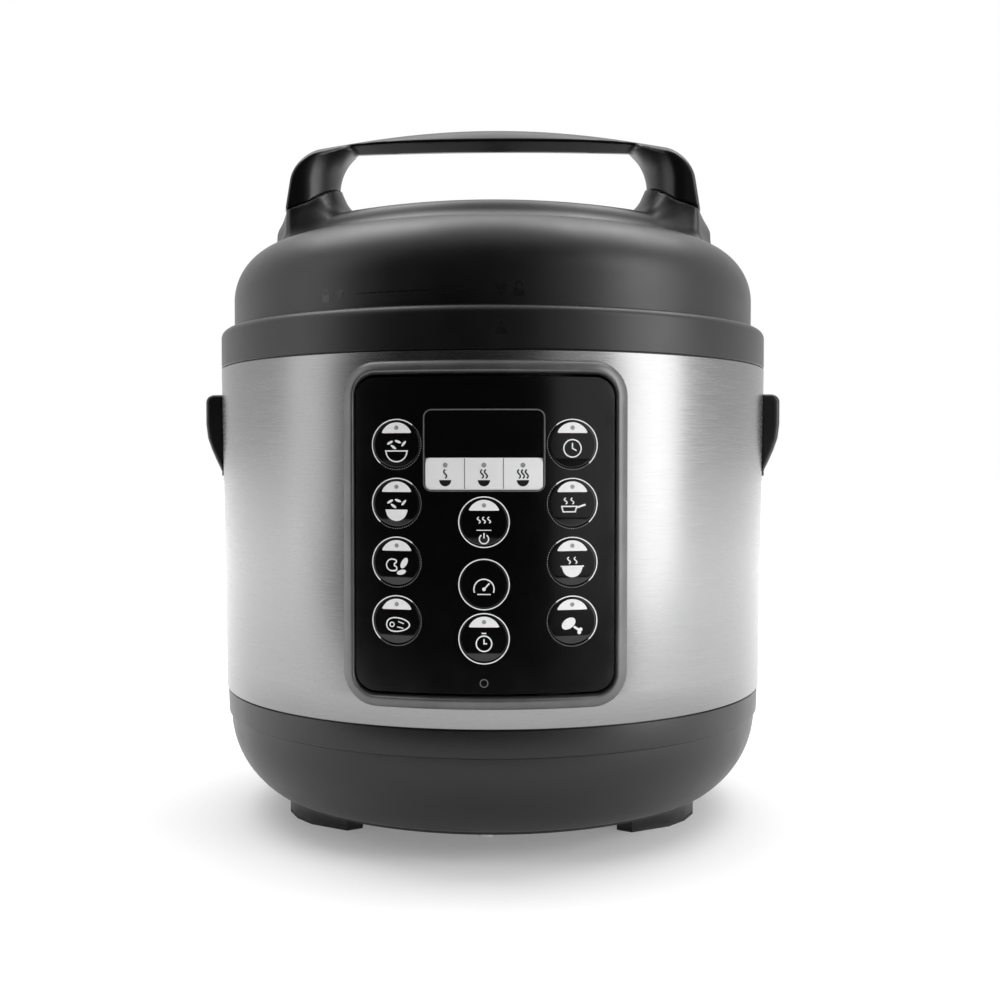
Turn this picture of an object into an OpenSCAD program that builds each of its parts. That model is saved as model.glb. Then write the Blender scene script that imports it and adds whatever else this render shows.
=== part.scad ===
// Electric pressure cooker: steel-walled body, bayonet lid with a carrying grip,
// key panel, removable pot and gasket, spring-loaded sensor and rear drip cup.
// Millimetres, +Z up, -Y is the key panel's side, standing on z = 0.

/* [Body] */
// Radius of the steel wall at its top edge
shell_top_r = 130; // [129.5:0.1:130.5]
// Radius of the steel wall at its bottom edge
shell_bottom_r = 128.2; // [128:0.1:128.4]
// Height of the steel wall's bottom edge
shell_bottom_z = 58.6; // [58.6:0.1:59]
// Height of the steel wall's top edge
shell_top_z = 206.4; // [206:0.1:206.4]
// Thickness of the steel wall
shell_sheet = 0.8; // [0.6:0.1:1]
// Height of the plastic collar's top edge
collar_top_z = 224.6; // [224:0.1:226]

/* [Base] */
// Radius of the round underside cover
cover_r = 105.6; // [104:0.2:105.8]
// Height of the underside cover above the table
cover_z = 10.4; // [10:0.1:10.6]
// Thickness of the rubber under each foot
foot_pad_t = 1.6; // [1.2:0.1:2]
// Number of cooling slots in the underside cover
vent_count = 12; // [6:1:16]

/* [Lid] */
// Radius of the lid's skirt, which drops inside the collar
lid_r = 123.9; // [123.5:0.1:124.1]
// Height of the lid's crown
lid_crown_z = 276; // [274:0.5:277]
// Wall thickness of the lid cover
lid_wall = 2.6; // [2:0.1:3]
// Height of the raised saddle between the grip's posts
saddle_z = 281.5; // [280:0.5:282]
// Height of the top of the grip
grip_top_z = 325; // [323:0.5:327]
// Depth of the grip at its middle, front to back
grip_depth = 31; // [28:1:34]

/* [Pot] */
// Outer radius of the removable pot
pot_r = 99.5; // [98:0.5:99.5]
// Wall thickness of the removable pot
pot_wall = 1.5; // [1:0.1:2]
// Number of bayonet lugs on the lid and on the liner
lug_count = 6; // [6:1:6]
// Width of each bayonet lug, in degrees
lug_angle = 26; // [20:1:27]

/* [Panel] */
// Width of the panel's frame
panel_w = 112.6; // [110:0.2:114]
// Height of the panel's frame
panel_h = 135.6; // [134:0.2:137]
// Height of the panel's centre above the table
panel_z = 134.8; // [134:0.1:135.5]
// Radius of a key cap
key_r = 9.2; // [8:0.1:9.3]
// Sideways distance of the outer key columns from the middle
key_column = 34.2; // [33.8:0.1:34.4]
// Height of the lowest key in the outer columns
key_low_z = 101.3; // [100:0.1:102]
// Vertical distance between keys in the outer columns
key_pitch = 22.9; // [22:0.1:23]

/* [Hidden] */
$fn = 96;

// The panel stands out at the front and the drip cup at the back; the body's axis is
// moved forward or back so that the whole object is centred on y = 0.
panel_r = 133.6;
cup_back_y = 152;
axis_y = (panel_r - cup_back_y) / 2;

// Colours
steel = "#c9cacc";
black_plastic = "#2b2b2d";
dark_gloss = "#101012";
grey_plastic = "#6d6e70";
rubber_black = "#1b1b1b";
silicone = "#d9dcdc";
aluminium = "#b9bcbf";
brass = "#b8923f";
board_green = "#1f5a35";
clear_smoke = "#3a3f44";

// Bowl of the base: one arc, whose centre is on the body's side of the wall
bowl_r = 43;
bowl_cr = 83.2;
bowl_cz = 46.9;
base_top_z = 58;
base_wall = 2.6;
base_lip_r = 106.2;
flange_r = 94;
screw_ring_r = 98;
boss_top_z = 26;

// Collar
collar_bore_r = 124.9;
gutter_z = 216;
gutter_in_r = 119.9;
spout_y = 137;

// Liner
liner_floor_z = 39;
liner_t = 1.3;
liner_r = 103.7;
liner_corner = 6;
liner_flange_z = 203;
bayonet_r = 119.5;
bayonet_top_z = 224;
lug_in_r = 112;
lug_t = 2;
sensor_hole_r = 8;

// Heating plate, its fixings and the sensor in its centre
plate_r = 88;
plate_z = 46;
plate_top_z = 54;
plate_hole_r = 18;
element_r = 62;
element_tube_r = 3.6;
element_gap_angle = 24;
bolt_ring_r = 76;
bolt_angles = [30, 150, 270];
sensor_r = 17.6;
sensor_cap_z = 50.6;
spring_coil_r = 11;
spring_wire_r = 0.9;
spring_low_z = 41.4;
spring_high_z = 49.5;
spring_turns = 4;

// Pot and gasket
pot_bottom_z = 54.3;
pot_corner = 10;
pot_rim_z = 207.8;
pot_rim_r = 106;
pot_rim_t = 2.2;
gasket_z = 208.1;
gasket_top_z = 215;
gasket_r = 108.2;

// Pressure lid under the cover
plid_r = 110.9;
plid_top_z = 228;
plid_edge_z = 219;
plid_dish_r = 96;
plid_t = 2.2;
plid_arc_r = (pow(plid_dish_r, 2) + pow(plid_top_z - plid_edge_z, 2))
    / (2 * (plid_top_z - plid_edge_z));
plid_lug_z = 218.4;
plid_lug_r = 116.8;
lid_screw_ring_r = 85;

// Lid cover: a shoulder arc that runs into a shallow crown
lid_skirt_z = 218;
shoulder_r = 26;
shoulder_cz = 238.5;
shoulder_cr = lid_r - shoulder_r;
shoulder_end = 78;
crown_foot_r = shoulder_cr + shoulder_r * cos(shoulder_end);
crown_foot_z = shoulder_cz + shoulder_r * sin(shoulder_end);
crown_r = (pow(crown_foot_r, 2) + pow(lid_crown_z - crown_foot_z, 2))
    / (2 * (lid_crown_z - crown_foot_z));
crown_cz = lid_crown_z - crown_r;
saddle_half_w = 105;
saddle_half_d = 54;
saddle_side_r = (pow(saddle_half_w, 2) + pow(saddle_half_d, 2)) / (2 * saddle_half_d);

// Grip posts
post_half_d = 22;
post_inner_r = 25.1;
post_inner_cx = 100.1;
parting = [[97.6, 283.6], [86.5, 286.9], [75, 295.8]];
parting_gap = 0.4;
grip_screw_x = 88;
grip_screw_y = 9;
bar_under_z = 313.5;
bar_foot_z = 309;

// Valves on the lid's back half
valve_y = 72;
valve_well_r = 19;
valve_well_z = 260;
pipe_r = 4;
float_x = -36;
float_y = 64;

// Panel, measured as radii from the body's axis
bezel_in_r = 127.4;
overlay_in_r = 131;
overlay_out_r = 132.6;
glass_in_r = 131.1;
glass_out_r = 132.5;
opening_w = 102.2;
opening_h = 123.2;
tray_w = 105;
tray_h = 128;
shelf_w = 96;
shelf_h = 117;
overlay_play = 0.2;
display_w = 45.9;
display_low_z = 152.4;
display_split_z = 164.9;
display_high_z = 183;
board_y = -117;
board_t = 1.6;
board_w = 97;
board_h = 114;
post_x = 46;
post_z = 54;
key_gap = 0.3;
key_cap_r = 132.8;
key_flange_out_r = 130.6;
key_flange_in_r = 129.2;
switch_top_y = -122;
key_rest_gap = 0.8;
side_rows = [for (row = [3:-1:0]) key_low_z + row * key_pitch];
mid_rows = [140, 115.9, 94.9];
keys = concat(
    [for (z = side_rows) [-key_column, z]],
    [for (z = side_rows) [key_column, z]],
    [for (z = mid_rows) [0, z]]
);
lit_keys = [for (k = keys) if (k != [0, mid_rows[1]]) k];
cell_x = [-15, 0, 15];

// Side handles
handle_out_half = 30;
handle_in_half = 24.5;
handle_pocket_half = 22;
handle_screw_y = 27.3;
handle_back_r = 115;
handle_low_z = 159;
handle_high_z = 195.1;

// Power inlet in the back of the base
inlet_z = 40;
inlet_face_y = 127.5;
inlet_half_w = 12.5;
inlet_half_h = 8.5;

// Drip cup and its holder
cup_half_w = 28;
cup_low_z = 145;
cup_top_z = 203;
cup_front_y = 136;
cup_wall = 1.8;
holder_y = 131.5;

// Power board in the base
pboard_x = 14;
pboard_y = -30;
pboard_w = 70;
pboard_d = 60;
pboard_z = 17;
pboard_holes = [[18, -26], [80, -26], [18, 26], [80, 26]];

// Foot outline for one quarter, corners rounded by the chamfer at the front
foot_outline = [
    [93.8, 36.2], [88.5, 47.5], [80.4, 56.8], [63, 66.3],
    [56.6, 62.4], [58, 44], [74, 29], [88, 29]
];
foot_stud = [75, 46];

function shell_r(z) = shell_bottom_r
    + (shell_top_r - shell_bottom_r) * (z - shell_bottom_z) / (shell_top_z - shell_bottom_z);

// Points along a circle in the half-plane of a turned outline
function arc(cr, cz, r, from, to, steps) =
    [for (i = [0:steps]) let (a = from + (to - from) * i / steps)
        [cr + r * cos(a), cz + r * sin(a)]];

function helix_centre(a) = [
    spring_coil_r * cos(a),
    spring_coil_r * sin(a),
    spring_low_z + (spring_high_z - spring_low_z) * a / (360 * spring_turns)
];

module at_axis() translate([0, axis_y, 0]) children();

// Cylinder along +Y with its axis at x, z
module rod_y(x, z, r, y0, y1) translate([x, y0, z]) rotate([-90, 0, 0]) cylinder(r = r, h = y1 - y0);

// Rounded rectangle in the XZ plane, extruded through the front of the body
module front_block(w, h, r, zc, y0 = -140, y1 = -60)
    translate([0, y1, zc]) rotate([90, 0, 0]) linear_extrude(y1 - y0) rounded_rect(w, h, r);

module rounded_rect(w, h, r) {
    square([w - 2 * r, h], center = true);
    square([w, h - 2 * r], center = true);
    for (x = [-1, 1], z = [-1, 1]) translate([x * (w / 2 - r), z * (h / 2 - r)]) circle(r);
}

// Upright tube between two radii
module tube(r_in, r_out, z0, z1) rotate_extrude() translate([r_in, z0]) square([r_out - r_in, z1 - z0]);

function unit(v) = v / norm(v);
function along(points, i) =
    unit(points[min(i + 1, len(points) - 1)] - points[max(i - 1, 0)]);
function mirrored(points) =
    concat(points, [for (i = [len(points) - 1:-1:0]) [-points[i][0], points[i][1]]]);

// Round tube swept along a list of points; across is any direction the path never takes
module swept(points, r, across, sides = 8) {
    rings = len(points) - 1;
    skin = [for (i = [0:rings], s = [0:sides - 1])
        let (t = along(points, i), u = unit(cross(t, across)), v = cross(u, t),
            b = s * 360 / sides)
        points[i] + r * (cos(b) * u + sin(b) * v)];
    walls = [for (i = [0:rings - 1], s = [0:sides - 1])
        [i * sides + s, i * sides + (s + 1) % sides, (i + 1) * sides + (s + 1) % sides,
         (i + 1) * sides + s]];
    polyhedron(
        skin,
        concat(walls, [[for (s = [sides - 1:-1:0]) s]],
            [[for (s = [0:sides - 1]) rings * sides + s]])
    );
}

module foot_shape(sx, sy) polygon([for (p = foot_outline) [p[0] * sx, p[1] * sy]]);

module base_housing() color(black_plastic) at_axis() difference() {
    union() {
        rotate_extrude() polygon(concat(
            [[127.7, base_top_z], [127.3, 47], [126.2, 46.1]],
            arc(bowl_cr, bowl_cz, bowl_r, -2, -53, 10),
            [[107.6, 12], [base_lip_r, 12], [base_lip_r, 12.8], [flange_r, 12.8],
             [flange_r, 15.2], [107.6, 15.2]],
            arc(bowl_cr, bowl_cz, bowl_r - base_wall, -50, -2, 10),
            [[124.2, 48], [124.8, base_top_z], [124.8, 62], [127, 62], [127, base_top_z]]
        ));
        translate([-20, 113, 27]) cube([40, inlet_face_y - 113, 27]);
        for (a = [0:90:270]) rotate(a) translate([screw_ring_r, 0, 13])
            cylinder(r = 4.4, h = boss_top_z - 13);
    }
    translate([-inlet_half_w - 0.2, 100, inlet_z - inlet_half_h - 0.2])
        cube([2 * inlet_half_w + 0.4, 40, 2 * inlet_half_h + 0.4]);
    for (a = [0:90:270]) rotate(a) translate([screw_ring_r, 0, 0]) cylinder(r = 1.85, h = 25);
}

module bottom_cover() color(black_plastic) at_axis() difference() {
    union() {
        translate([0, 0, cover_z]) cylinder(r = cover_r, h = 2.2);
        for (p = pboard_holes) translate([p[0], p[1], cover_z + 1])
            cylinder(r = 3, h = pboard_z - cover_z - 1);
    }
    for (a = [0:90:270]) rotate(a) translate([screw_ring_r, 0, 0]) cylinder(r = 2.1, h = 20);
    for (i = [0:vent_count - 1]) rotate(i * 360 / vent_count + 15)
        translate([36, -1.5, cover_z - 1]) cube([22, 3, 5]);
    for (p = pboard_holes) translate([p[0], p[1], 12.9]) cylinder(r = 1.15, h = 10);
}

// Feet on the underside cover, each with a socket for its rubber pad's stud
module feet() color(black_plastic) at_axis() for (sx = [-1, 1], sy = [-1, 1]) difference() {
    translate([0, 0, foot_pad_t]) linear_extrude(cover_z - foot_pad_t) foot_shape(sx, sy);
    translate([foot_stud[0] * sx, foot_stud[1] * sy, 0]) cylinder(r = 3.2, h = 4.4);
}

module foot_pads() color(rubber_black) at_axis() for (sx = [-1, 1], sy = [-1, 1]) {
    linear_extrude(foot_pad_t) foot_shape(sx, sy);
    translate([foot_stud[0] * sx, foot_stud[1] * sy, foot_pad_t - 0.1]) cylinder(r = 3, h = 2.6);
}

module base_screws() color(steel) at_axis() for (a = [0:90:270]) rotate(a)
    translate([screw_ring_r, 0, 0]) difference() {
        union() {
            translate([0, 0, 8.4]) cylinder(r = 3.6, h = 2);
            translate([0, 0, cover_z - 0.1]) cylinder(r = 1.75, h = 13);
        }
        for (turn = [0, 90]) rotate(turn) translate([-2.4, -0.4, 8]) cube([4.8, 0.8, 1.4]);
    }

module outer_shell() color(steel) at_axis() difference() {
    rotate_extrude() polygon([
        [shell_bottom_r, shell_bottom_z], [shell_top_r, shell_top_z],
        [shell_top_r - shell_sheet, shell_top_z], [shell_bottom_r - shell_sheet, shell_bottom_z]
    ]);
    front_block(tray_w + 1, tray_h + 1, 9, panel_z);
    for (side = [-1, 1]) {
        translate([side * 120 - 20, -handle_in_half - 0.4, handle_low_z - 2.6])
            cube([40, 2 * handle_in_half + 0.8, 36.6]);
        for (y = [-handle_screw_y, handle_screw_y])
            translate([side * 125, y, 186]) rotate([0, 90, 0])
            cylinder(r = 1.5, h = 20, center = true);
    }
    for (z = [160, 190]) rod_y(0, z, 1.7, 120, 140);
}

module top_collar() color(black_plastic) at_axis() difference() {
    union() {
        rotate_extrude() polygon(concat(
            [[128.9, 207], [shell_top_r, 207]],
            arc(shell_top_r - 4, collar_top_z - 4, 4, 0, 90, 8),
            [[collar_bore_r, collar_top_z], [collar_bore_r, gutter_z], [gutter_in_r, gutter_z],
             [gutter_in_r, 213.4], [126.6, 213.4], [126.6, 202], [128.9, 202]]
        ));
        translate([-20, 126, 207]) cube([40, 19, 12]);
        translate([-20, 130.6, 204.6]) cube([40, 14.4, 3]);
    }
    translate([-3, 120, gutter_z]) cube([6, spout_y - 120, 2.4]);
    translate([0, spout_y, 200]) cylinder(r = 3, h = 18.4);
}

module outer_pot() color(steel) at_axis() difference() {
    union() {
        rotate_extrude() polygon(concat(
            [[0, liner_floor_z]],
            arc(liner_r - liner_corner, liner_floor_z + liner_corner, liner_corner, -90, 0, 6),
            [[liner_r, liner_flange_z], [bayonet_r, liner_flange_z], [bayonet_r, bayonet_top_z],
             [bayonet_r - 1.5, bayonet_top_z], [bayonet_r - 1.5, liner_flange_z + 1.5],
             [liner_r - liner_t, liner_flange_z + 1.5]],
            arc(liner_r - liner_corner, liner_floor_z + liner_corner, liner_corner - liner_t,
                0, -90, 6),
            [[0, liner_floor_z + liner_t]]
        ));
        for (i = [0:lug_count - 1]) rotate(i * 360 / lug_count - lug_angle / 2)
            rotate_extrude(angle = lug_angle) translate([lug_in_r, bayonet_top_z - lug_t - 0.3])
                square([bayonet_r - lug_in_r - 0.6, lug_t]);
    }
    cylinder(r = sensor_hole_r, h = 60);
    for (a = bolt_angles) rotate(a) translate([bolt_ring_r, 0, 0]) cylinder(r = 2.7, h = 60);
    for (side = [-1, 1]) rotate(90 + side * element_gap_angle / 2) translate([element_r, 0, 0])
        cylinder(r = 4, h = 60);
}

module heating_plate() color(aluminium) at_axis() difference() {
    rotate_extrude() polygon([
        [plate_hole_r, plate_z], [plate_r - 2, plate_z], [plate_r, plate_z + 2],
        [plate_r, plate_top_z - 3], [plate_r - 2, plate_top_z - 0.8],
        [plate_r - 8, plate_top_z], [plate_hole_r, plate_top_z]
    ]);
    rotate_extrude() translate([element_r, plate_z]) circle(element_tube_r + 0.2, $fn = 32);
    for (a = bolt_angles) rotate(a) translate([bolt_ring_r, 0, plate_z - 1])
        cylinder(r = 2.65, h = 6);
}

module heating_element() color(steel) at_axis() {
    rotate(90 + element_gap_angle / 2) rotate_extrude(angle = 360 - element_gap_angle)
        translate([element_r, plate_z]) circle(element_tube_r, $fn = 32);
    for (side = [-1, 1]) rotate(90 + side * element_gap_angle / 2)
        translate([element_r, -side * 0.2, 32]) cylinder(r = 2.2, h = plate_z - 32);
}

module plate_bolts() color(steel) at_axis() for (a = bolt_angles) rotate(a)
    translate([bolt_ring_r, 0, 0]) {
        translate([0, 0, 35]) cylinder(r = 4.5, h = 4, $fn = 6);
        translate([0, 0, 38]) cylinder(r = 2.5, h = 12);
        translate([0, 0, liner_floor_z + liner_t]) cylinder(r = 4.8, h = plate_z - 40.3);
    }

module sensor_spring() color(steel) at_axis() swept(
    [for (i = [0:spring_turns * 16]) helix_centre(i * 360 / 16)], spring_wire_r, [0, 0, 1]
);

module thermal_fuse() color(steel) at_axis() {
    translate([-12, -40, 34]) rotate([0, 90, 0]) cylinder(r = 3.5, h = 24);
    translate([-3, -44, 36]) cube([6, 8, 3]);
    for (x = [-18, 11]) translate([x, -40, 34]) rotate([0, 90, 0]) cylinder(r = 1, h = 7);
}

module pressure_switch() color(black_plastic) at_axis() {
    translate([-62, -30, 27]) cube([34, 18, 11]);
    translate([-45, -21, 37.9]) cylinder(r = 5, h = 1.1);
    for (x = [-58, -34]) translate([x, -33, 31]) cube([4, 3.1, 0.8]);
}

module power_board() color(board_green) at_axis() difference() {
    translate([pboard_x, pboard_y, pboard_z]) cube([pboard_w, pboard_d, board_t]);
    for (p = pboard_holes) translate([p[0], p[1], 10]) cylinder(r = 1.3, h = 20);
}

// Relay, filter block, transformer, capacitors and terminal block, standing on the board
module board_components() color(dark_gloss) at_axis() translate([0, 0, pboard_z + board_t]) {
    translate([58, -12, 0]) cube([20, 16, 14]);
    translate([34, -26, 0]) cube([18, 8, 12]);
    translate([40, 4, 0]) cube([14, 16, 13]);
    for (x = [24, 33]) translate([x, -8, 0]) cylinder(r = 3.8, h = 12);
    translate([62, 12, 0]) cube([14, 8, 9]);
}

module control_board() color(board_green) at_axis() difference() {
    translate([-board_w / 2, board_y, panel_z - board_h / 2]) cube([board_w, board_t, board_h]);
    for (x = [-post_x, post_x], z = [-post_z, post_z]) rod_y(x, panel_z + z, 1.4, -125, -110);
}

module board_screws() color(steel) at_axis() {
    for (x = [-post_x, post_x], z = [-post_z, post_z]) {
        rod_y(x, panel_z + z, 1.2, -119.4, board_y + board_t + 0.1);
        rod_y(x, panel_z + z, 2.4, board_y + board_t, board_y + board_t + 2);
    }
    for (p = pboard_holes) translate([p[0], p[1], 0]) {
        translate([0, 0, 13]) cylinder(r = 1.1, h = 6);
        translate([0, 0, pboard_z + board_t]) cylinder(r = 2.2, h = 1.5);
    }
}

module tact_switches() color(dark_gloss) at_axis() for (k = keys) {
    translate([k[0] - 3, -120.5, k[1] - 3]) cube([6, board_y + 120.5, 6]);
    rod_y(k[0], k[1], 1.75, switch_top_y, -120.4);
}

module key_leds() color("#f4f4ee") at_axis() {
    for (k = lit_keys) rod_y(k[0], k[1] + 6, 1.5, -121.5, board_y);
    for (x = cell_x) rod_y(x, 158.7, 1.5, -121.5, board_y);
}

module display_module() color(dark_gloss) at_axis()
    translate([-21, -127.5, 166.5]) cube([42, board_y + 127.5, 15]);

module panel_bezel() color(grey_plastic) at_axis() difference() {
    union() {
        intersection() {
            rotate_extrude() polygon([
                [shell_r(60) + 0.1, 60], [panel_r, 60], [panel_r, 208], [shell_r(208) + 0.1, 208]
            ]);
            front_block(panel_w, panel_h, 13.5, panel_z);
        }
        intersection() {
            tube(bezel_in_r, overlay_in_r, 60, 210);
            front_block(tray_w, tray_h, 8.5, panel_z);
        }
        for (x = [-post_x, post_x], z = [-post_z, post_z])
            rod_y(x, panel_z + z, 3.4, -122, board_y);
    }
    intersection() {
        tube(overlay_in_r - 0.05, 140, 60, 210);
        front_block(opening_w, opening_h, 8, panel_z);
    }
    front_block(shelf_w, shelf_h - 14, 3, panel_z);
    front_block(shelf_w - 16, shelf_h, 3, panel_z);
    for (x = [-post_x, post_x], z = [-post_z, post_z]) rod_y(x, panel_z + z, 1.25, -119.6, -110);
}

module panel_overlay() color(dark_gloss) at_axis() difference() {
    intersection() {
        tube(overlay_in_r, overlay_out_r, 60, 210);
        front_block(opening_w - 2 * overlay_play, opening_h - 2 * overlay_play, 7.8, panel_z);
    }
    for (k = keys) rod_y(k[0], k[1], key_r + key_gap, -140, -110);
    front_block(display_w, display_high_z - display_low_z, 2.4,
        (display_high_z + display_low_z) / 2);
}

// One face of the display area between two heights, with a hidden lip behind the overlay
module display_face(z0, z1, lip0, lip1) {
    intersection() {
        tube(glass_in_r - 0.2, glass_out_r, 100, 200);
        front_block(display_w - 0.4, z1 - z0, 2.2, (z0 + z1) / 2);
    }
    intersection() {
        tube(glass_in_r - 1, overlay_in_r - 0.05, 100, 200);
        front_block(display_w - 0.4, lip1 - lip0, 0.5, (lip0 + lip1) / 2);
    }
}

module display_window() color(clear_smoke, 0.6) at_axis()
    display_face(display_split_z + 0.1, display_high_z - 0.2, display_split_z + 0.1, 185.5);

module indicator_strip() color("white") at_axis() {
    display_face(display_low_z + 0.2, display_split_z - 0.1, 151, display_split_z - 0.1);
    for (x = cell_x) intersection() {
        translate([x - 6.4, -131, 153.6]) cube([12.8, 9.2, 10.2]);
        cylinder(r = glass_in_r, h = 200);
    }
}

module key_cap(x, z) color(dark_gloss) at_axis() {
    intersection() {
        tube(key_flange_in_r, key_cap_r, 80, 200);
        rod_y(x, z, key_r, -140, -110);
    }
    intersection() {
        tube(key_flange_in_r, key_flange_out_r, 80, 200);
        rod_y(x, z, key_r + 1, -140, -110);
    }
    intersection() {
        cylinder(r = key_flange_out_r, h = 200);
        rod_y(x, z, 2, -129.8, switch_top_y - key_rest_gap);
    }
}

module key_left_1() key_cap(-key_column, side_rows[0]);
module key_left_2() key_cap(-key_column, side_rows[1]);
module key_left_3() key_cap(-key_column, side_rows[2]);
module key_left_4() key_cap(-key_column, side_rows[3]);
module key_right_1() key_cap(key_column, side_rows[0]);
module key_right_2() key_cap(key_column, side_rows[1]);
module key_right_3() key_cap(key_column, side_rows[2]);
module key_right_4() key_cap(key_column, side_rows[3]);
module key_mid_1() key_cap(0, mid_rows[0]);
module key_mid_2() key_cap(0, mid_rows[1]);
module key_mid_3() key_cap(0, mid_rows[2]);

// Side handle on the +X side: an outer wedge with a lip, and a pocket set into the wall
module side_handle() difference() {
    union() {
        intersection() {
            rotate_extrude() polygon(concat(
                [[shell_r(handle_low_z) + 0.1, handle_low_z],
                 [shell_r(handle_low_z) + 0.6, handle_low_z],
                 [132.4, 163.8], [134.7, 169.2], [136.6, 174.5], [137.5, 181]],
                arc(133.5, handle_high_z - 4, 4, 0, 90, 6),
                [[shell_r(handle_high_z) + 0.1, handle_high_z]]
            ));
            translate([100, -handle_out_half, 150]) cube([50, 2 * handle_out_half, 60]);
        }
        intersection() {
            tube(handle_back_r, 131, handle_low_z - 2, handle_high_z - 2.5);
            translate([100, -handle_in_half, 150]) cube([50, 2 * handle_in_half, 60]);
        }
    }
    intersection() {
        rotate_extrude() polygon([
            [handle_back_r + 2, 163.3], [129.4, 159.6], [129.4, 150], [145, 150], [145, 176.5],
            [134.9, 176.5], [134.1, 178], [134.1, 187.1], [131.8, 189.2], [handle_back_r + 2, 189.2]
        ]);
        translate([100, -handle_pocket_half, 140]) cube([50, 2 * handle_pocket_half, 60]);
    }
    for (y = [-handle_screw_y, handle_screw_y]) translate([116, y, 186]) rotate([0, 90, 0])
        cylinder(r = 1.25, h = 16.4);
}

module side_handle_right() color(black_plastic) at_axis() side_handle();
module side_handle_left() color(black_plastic) at_axis() mirror([1, 0, 0]) side_handle();

// Screws driven from inside the wall into the side handles and the drip cup's holder
module wall_screws() color(steel) at_axis() {
    for (side = [0, 1]) mirror([side, 0, 0]) for (y = [-handle_screw_y, handle_screw_y])
        translate([0, y, 186]) rotate([0, 90, 0]) {
            translate([0, 0, 125]) cylinder(r = 1.2, h = 7);
            translate([0, 0, 123.2]) cylinder(r = 2.5, h = 2);
        }
    for (z = [160, 190]) {
        rod_y(0, z, 1.5, 127, 131.3);
        rod_y(0, z, 2.8, 126.4, 128.4);
    }
}

module power_inlet() color(dark_gloss) at_axis() difference() {
    union() {
        translate([-16, inlet_face_y, inlet_z - 12]) cube([32, 2, 24]);
        translate([-inlet_half_w, 105, inlet_z - inlet_half_h])
            cube([2 * inlet_half_w, inlet_face_y - 104.9, 2 * inlet_half_h]);
    }
    translate([-11, 109, inlet_z - 7]) cube([22, 30, 14]);
    for (x = [-7, 0, 7]) translate([x - 1.1, 100, inlet_z - 2.1]) cube([2.2, 12, 4.2]);
}

module inlet_pins() color(brass) at_axis()
    for (x = [-7, 0, 7]) translate([x - 1, 104.3, inlet_z - 2]) cube([2, 20, 4]);

// Three supply leads from the inlet and two leads to the heating element
module wiring() color(rubber_black) at_axis() {
    for (i = [0:2]) swept([
        [7 * i - 7, 103.1, 40], [7 * i - 7, 103.1, 36.5], [7 * i - 7, 101, 32 - 1.6 * i],
        [7 * i - 4, 95, 30 - 1.6 * i], [21 + 5 * i, 40, 30 - 1.6 * i],
        [24 + 5 * i, 29, 28.5 - 1.6 * i], [24 + 5 * i, 26, 24], [24 + 5 * i, 26, 18.7]
    ], 1.1, [1, 0, 0]);
    for (side = [-1, 1]) swept([
        [12.9 * side, 58.1, 33.4], [12.9 * side, 54, 33.4], [47 + 5 * side, 34, 33.4],
        [49 + 5 * side, 28, 31], [49 + 5 * side, 26, 25], [49 + 5 * side, 26, 18.7]
    ], 1.1, [1, 0, 0]);
}

// Flat cable from the key board down to the power board
module ribbon_cable() color("#9a9a92") at_axis() translate([21, 0, 0]) rotate([90, 0, 90])
    linear_extrude(12) polygon([
        [-115.3, 90], [-115.3, 96], [-113.5, 96], [-113.5, 86], [-109, 46], [-100, 30],
        [-60, 24], [-29, 19.6], [-24, 19.6], [-24, 18.7], [-29, 18.7], [-60, 23], [-100.6, 29],
        [-110, 45.6], [-114.4, 86], [-114.4, 90]
    ]);

// Plate on the wall with two hooked rails that the cup's back slides into from below
module cup_holder() color(black_plastic) at_axis() difference() {
    union() {
        translate([0, 0, 148]) linear_extrude(52) polygon(mirrored([
            [24, 120], [24, holder_y + 4], [16, holder_y + 4], [16, holder_y + 2.5],
            [18, holder_y + 2.5], [18, holder_y]
        ]));
        translate([-18.5, holder_y - 0.5, 198]) cube([37, 4.5, 2]);
    }
    rotate_extrude($fn = 360) polygon([
        [0, 140], [shell_r(140) + 0.1, 140], [shell_r(210) + 0.1, 210], [0, 210]
    ]);
    for (z = [160, 190]) rod_y(0, z, 1.7, 120, 140);
}

module condensation_cup() color(clear_smoke, 0.7) at_axis() difference() {
    union() {
        translate([0, (cup_front_y + cup_back_y) / 2, cup_low_z])
            linear_extrude(cup_top_z - cup_low_z)
                rounded_rect(2 * cup_half_w, cup_back_y - cup_front_y, 5);
        translate([-15.2, holder_y + 0.4, cup_low_z + 3]) cube([30.4, 6, 49]);
        translate([-17.4, holder_y + 0.4, cup_low_z + 3]) cube([34.8, 1.7, 49]);
    }
    translate([0, (cup_front_y + cup_back_y) / 2, cup_low_z + cup_wall])
        linear_extrude(cup_top_z)
            rounded_rect(2 * (cup_half_w - cup_wall),
                cup_back_y - cup_front_y - 2 * cup_wall, 3.5);
}

module temperature_sensor() color(aluminium) at_axis() {
    translate([0, 0, sensor_cap_z]) cylinder(r = sensor_r, h = plate_top_z - sensor_cap_z);
    translate([0, 0, 33]) cylinder(r = 6, h = sensor_cap_z - 32.9);
    translate([0, 0, 33]) cylinder(r = 10, h = 1.5);
}

module inner_pot() color(steel) at_axis() rotate_extrude() polygon(concat(
    [[0, pot_bottom_z]],
    arc(pot_r - pot_corner, pot_bottom_z + pot_corner, pot_corner, -90, 0, 8),
    [[pot_r, pot_rim_z - pot_rim_t]],
    arc(pot_rim_r - pot_rim_t / 2, pot_rim_z - pot_rim_t / 2, pot_rim_t / 2, -90, 90, 6),
    arc(pot_r - pot_wall + 1.5, pot_rim_z - 1.5, 1.5, 90, 180, 4),
    arc(pot_r - pot_corner, pot_bottom_z + pot_corner, pot_corner - pot_wall, 0, -90, 8),
    [[0, pot_bottom_z + pot_wall]]
));

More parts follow.
